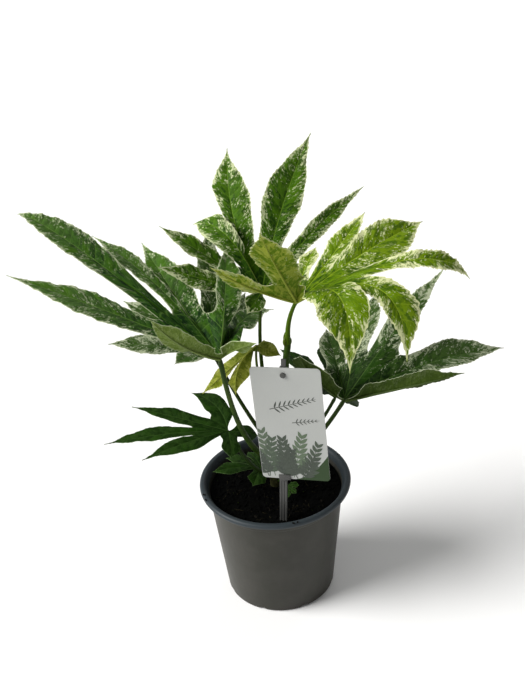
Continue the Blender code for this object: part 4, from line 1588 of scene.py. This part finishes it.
    def build(self) -> list[bpy.types.Object]:
        """Make the label's own pieces and finish its card.

        Returns:
            The stake and the printed sprigs.
        """
        dress(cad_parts["label_card"], self.card_finish())
        made = [self.stake()] + [self.sprig(layer, sprig) for layer, sprig in enumerate(self.sprigs)]
        for piece in made:
            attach(piece, BODY)
        return made


@dataclass
class Studio:
    """The pale floor, the soft lights and the camera."""

    camera_place: tuple[float, float, float] = (-4.3, -856.4, 798.4)
    pitch: float = 29.75
    roll: float = -3.89
    focal_pixels: float = 950.0
    frame_height_pixels: float = 700.0
    sensor: float = 36.0
    floor_size: float = 40.0
    horizon_low: float = 0.03
    horizon_high: float = 0.2
    horizon_strength: float = 0.95
    sky_strength: float = 0.24
    key_strength: float = 4.7
    key_spread: float = 38.0
    back_strength: float = 0.4
    back_spread: float = 35.0

    def camera(self) -> None:
        """Place the camera where the photograph was taken from."""
        pitch, roll = math.radians(self.pitch), math.radians(self.roll)
        forward = Vector((0, math.cos(pitch), -math.sin(pitch)))
        level, rise = Vector((1, 0, 0)), Vector((0, math.sin(pitch), math.cos(pitch)))
        right = level * math.cos(roll) + rise * math.sin(roll)
        up = rise * math.cos(roll) - level * math.sin(roll)
        data = bpy.data.cameras.new("camera")
        data.sensor_width = self.sensor
        data.lens = self.sensor * self.focal_pixels / self.frame_height_pixels
        camera = link("camera", data)
        turned = Matrix((right, up, -forward)).transposed().to_4x4()
        camera.matrix_world = Matrix.Translation(Vector(self.camera_place) * MM) @ turned
        bpy.context.scene.camera = camera

    def light(self, name: str, place: Vector, spread: float, strength: float, warmth: Color) -> None:
        """Hang a large soft light, which lights the whole floor evenly.

        Args:
            name: The light's name.
            place: Where it stands, seen from the plant.
            spread: How wide it looks from the plant, in degrees.
            strength: Its strength.
            warmth: Its colour.
        """
        data = bpy.data.lights.new(name, "SUN")
        data.angle = math.radians(spread)
        data.energy = strength
        data.color = warmth[:3]
        light = link(name, data)
        light.location = place
        light.rotation_euler = (-place).to_track_quat("-Z", "Y").to_euler()

    def sky(self) -> None:
        """Surround the plant with soft light that is palest at the floor's edge."""
        world = bpy.data.worlds.new("studio_world")
        world.use_nodes = True
        tree = world.node_tree
        direction = tree.nodes.new("ShaderNodeTexCoord").outputs["Generated"]
        parts = tree.nodes.new("ShaderNodeSeparateXYZ")
        tree.links.new(direction, parts.inputs[0])
        ramp = tree.nodes.new("ShaderNodeMapRange")
        ramp.interpolation_type = "SMOOTHSTEP"
        settings = {
            "From Min": self.horizon_low, "From Max": self.horizon_high,
            "To Min": self.horizon_strength, "To Max": self.sky_strength,
        }
        for socket, setting in settings.items():
            ramp.inputs[socket].default_value = setting
        tree.links.new(parts.outputs[2], ramp.inputs["Value"])
        tree.nodes["Background"].inputs["Color"].default_value = (1, 1, 1, 1)
        tree.links.new(ramp.outputs["Result"], tree.nodes["Background"].inputs["Strength"])
        bpy.context.scene.world = world

    def floor(self) -> None:
        """Lay the floor."""
        shader = Shader("studio_floor", 0.9, 0.1)
        speckle = shader.noise(shader.place(), 3.0, 2.0)
        paint = shader.finish(shader.mix(speckle, tone(247, 247, 247), tone(250, 250, 250)))
        deselect()
        bpy.ops.mesh.primitive_plane_add(size=self.floor_size, location=(0, 0, 0))
        floor = bpy.context.object
        floor.name = "studio_floor"
        floor.data.materials.append(paint)

    def build(self) -> None:
        """Set up everything that isn't the plant."""
        scene = bpy.context.scene
        self.sky()
        scene.view_settings.view_transform = "Standard"
        self.camera()
        self.floor()
        key_side, back_side = Vector((-1.3, -0.2, 0.95)), Vector((0.5, 1.0, 1.5))
        self.light("key", key_side, self.key_spread, self.key_strength, (1.0, 0.99, 0.975, 1))
        self.light("back", back_side, self.back_spread, self.back_strength, (1.0, 1.0, 0.97, 1))


def main() -> None:
    """Build the plant and its pot around the frame, then log the points and faces of each piece."""
    logging.basicConfig(level=logging.INFO, format="%(message)s")
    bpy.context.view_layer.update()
    Studio().build()
    made = [Pot().build(), *Stem().build(), *Compost().build(), *PlantLabel().build()]
    made += [leaf.build() for leaf in LEAVES]
    for piece in made:
        log.info("%s: %d points, %d faces", piece.name, len(piece.data.vertices), len(piece.data.polygons))


if __name__ == "__main__":
    main()
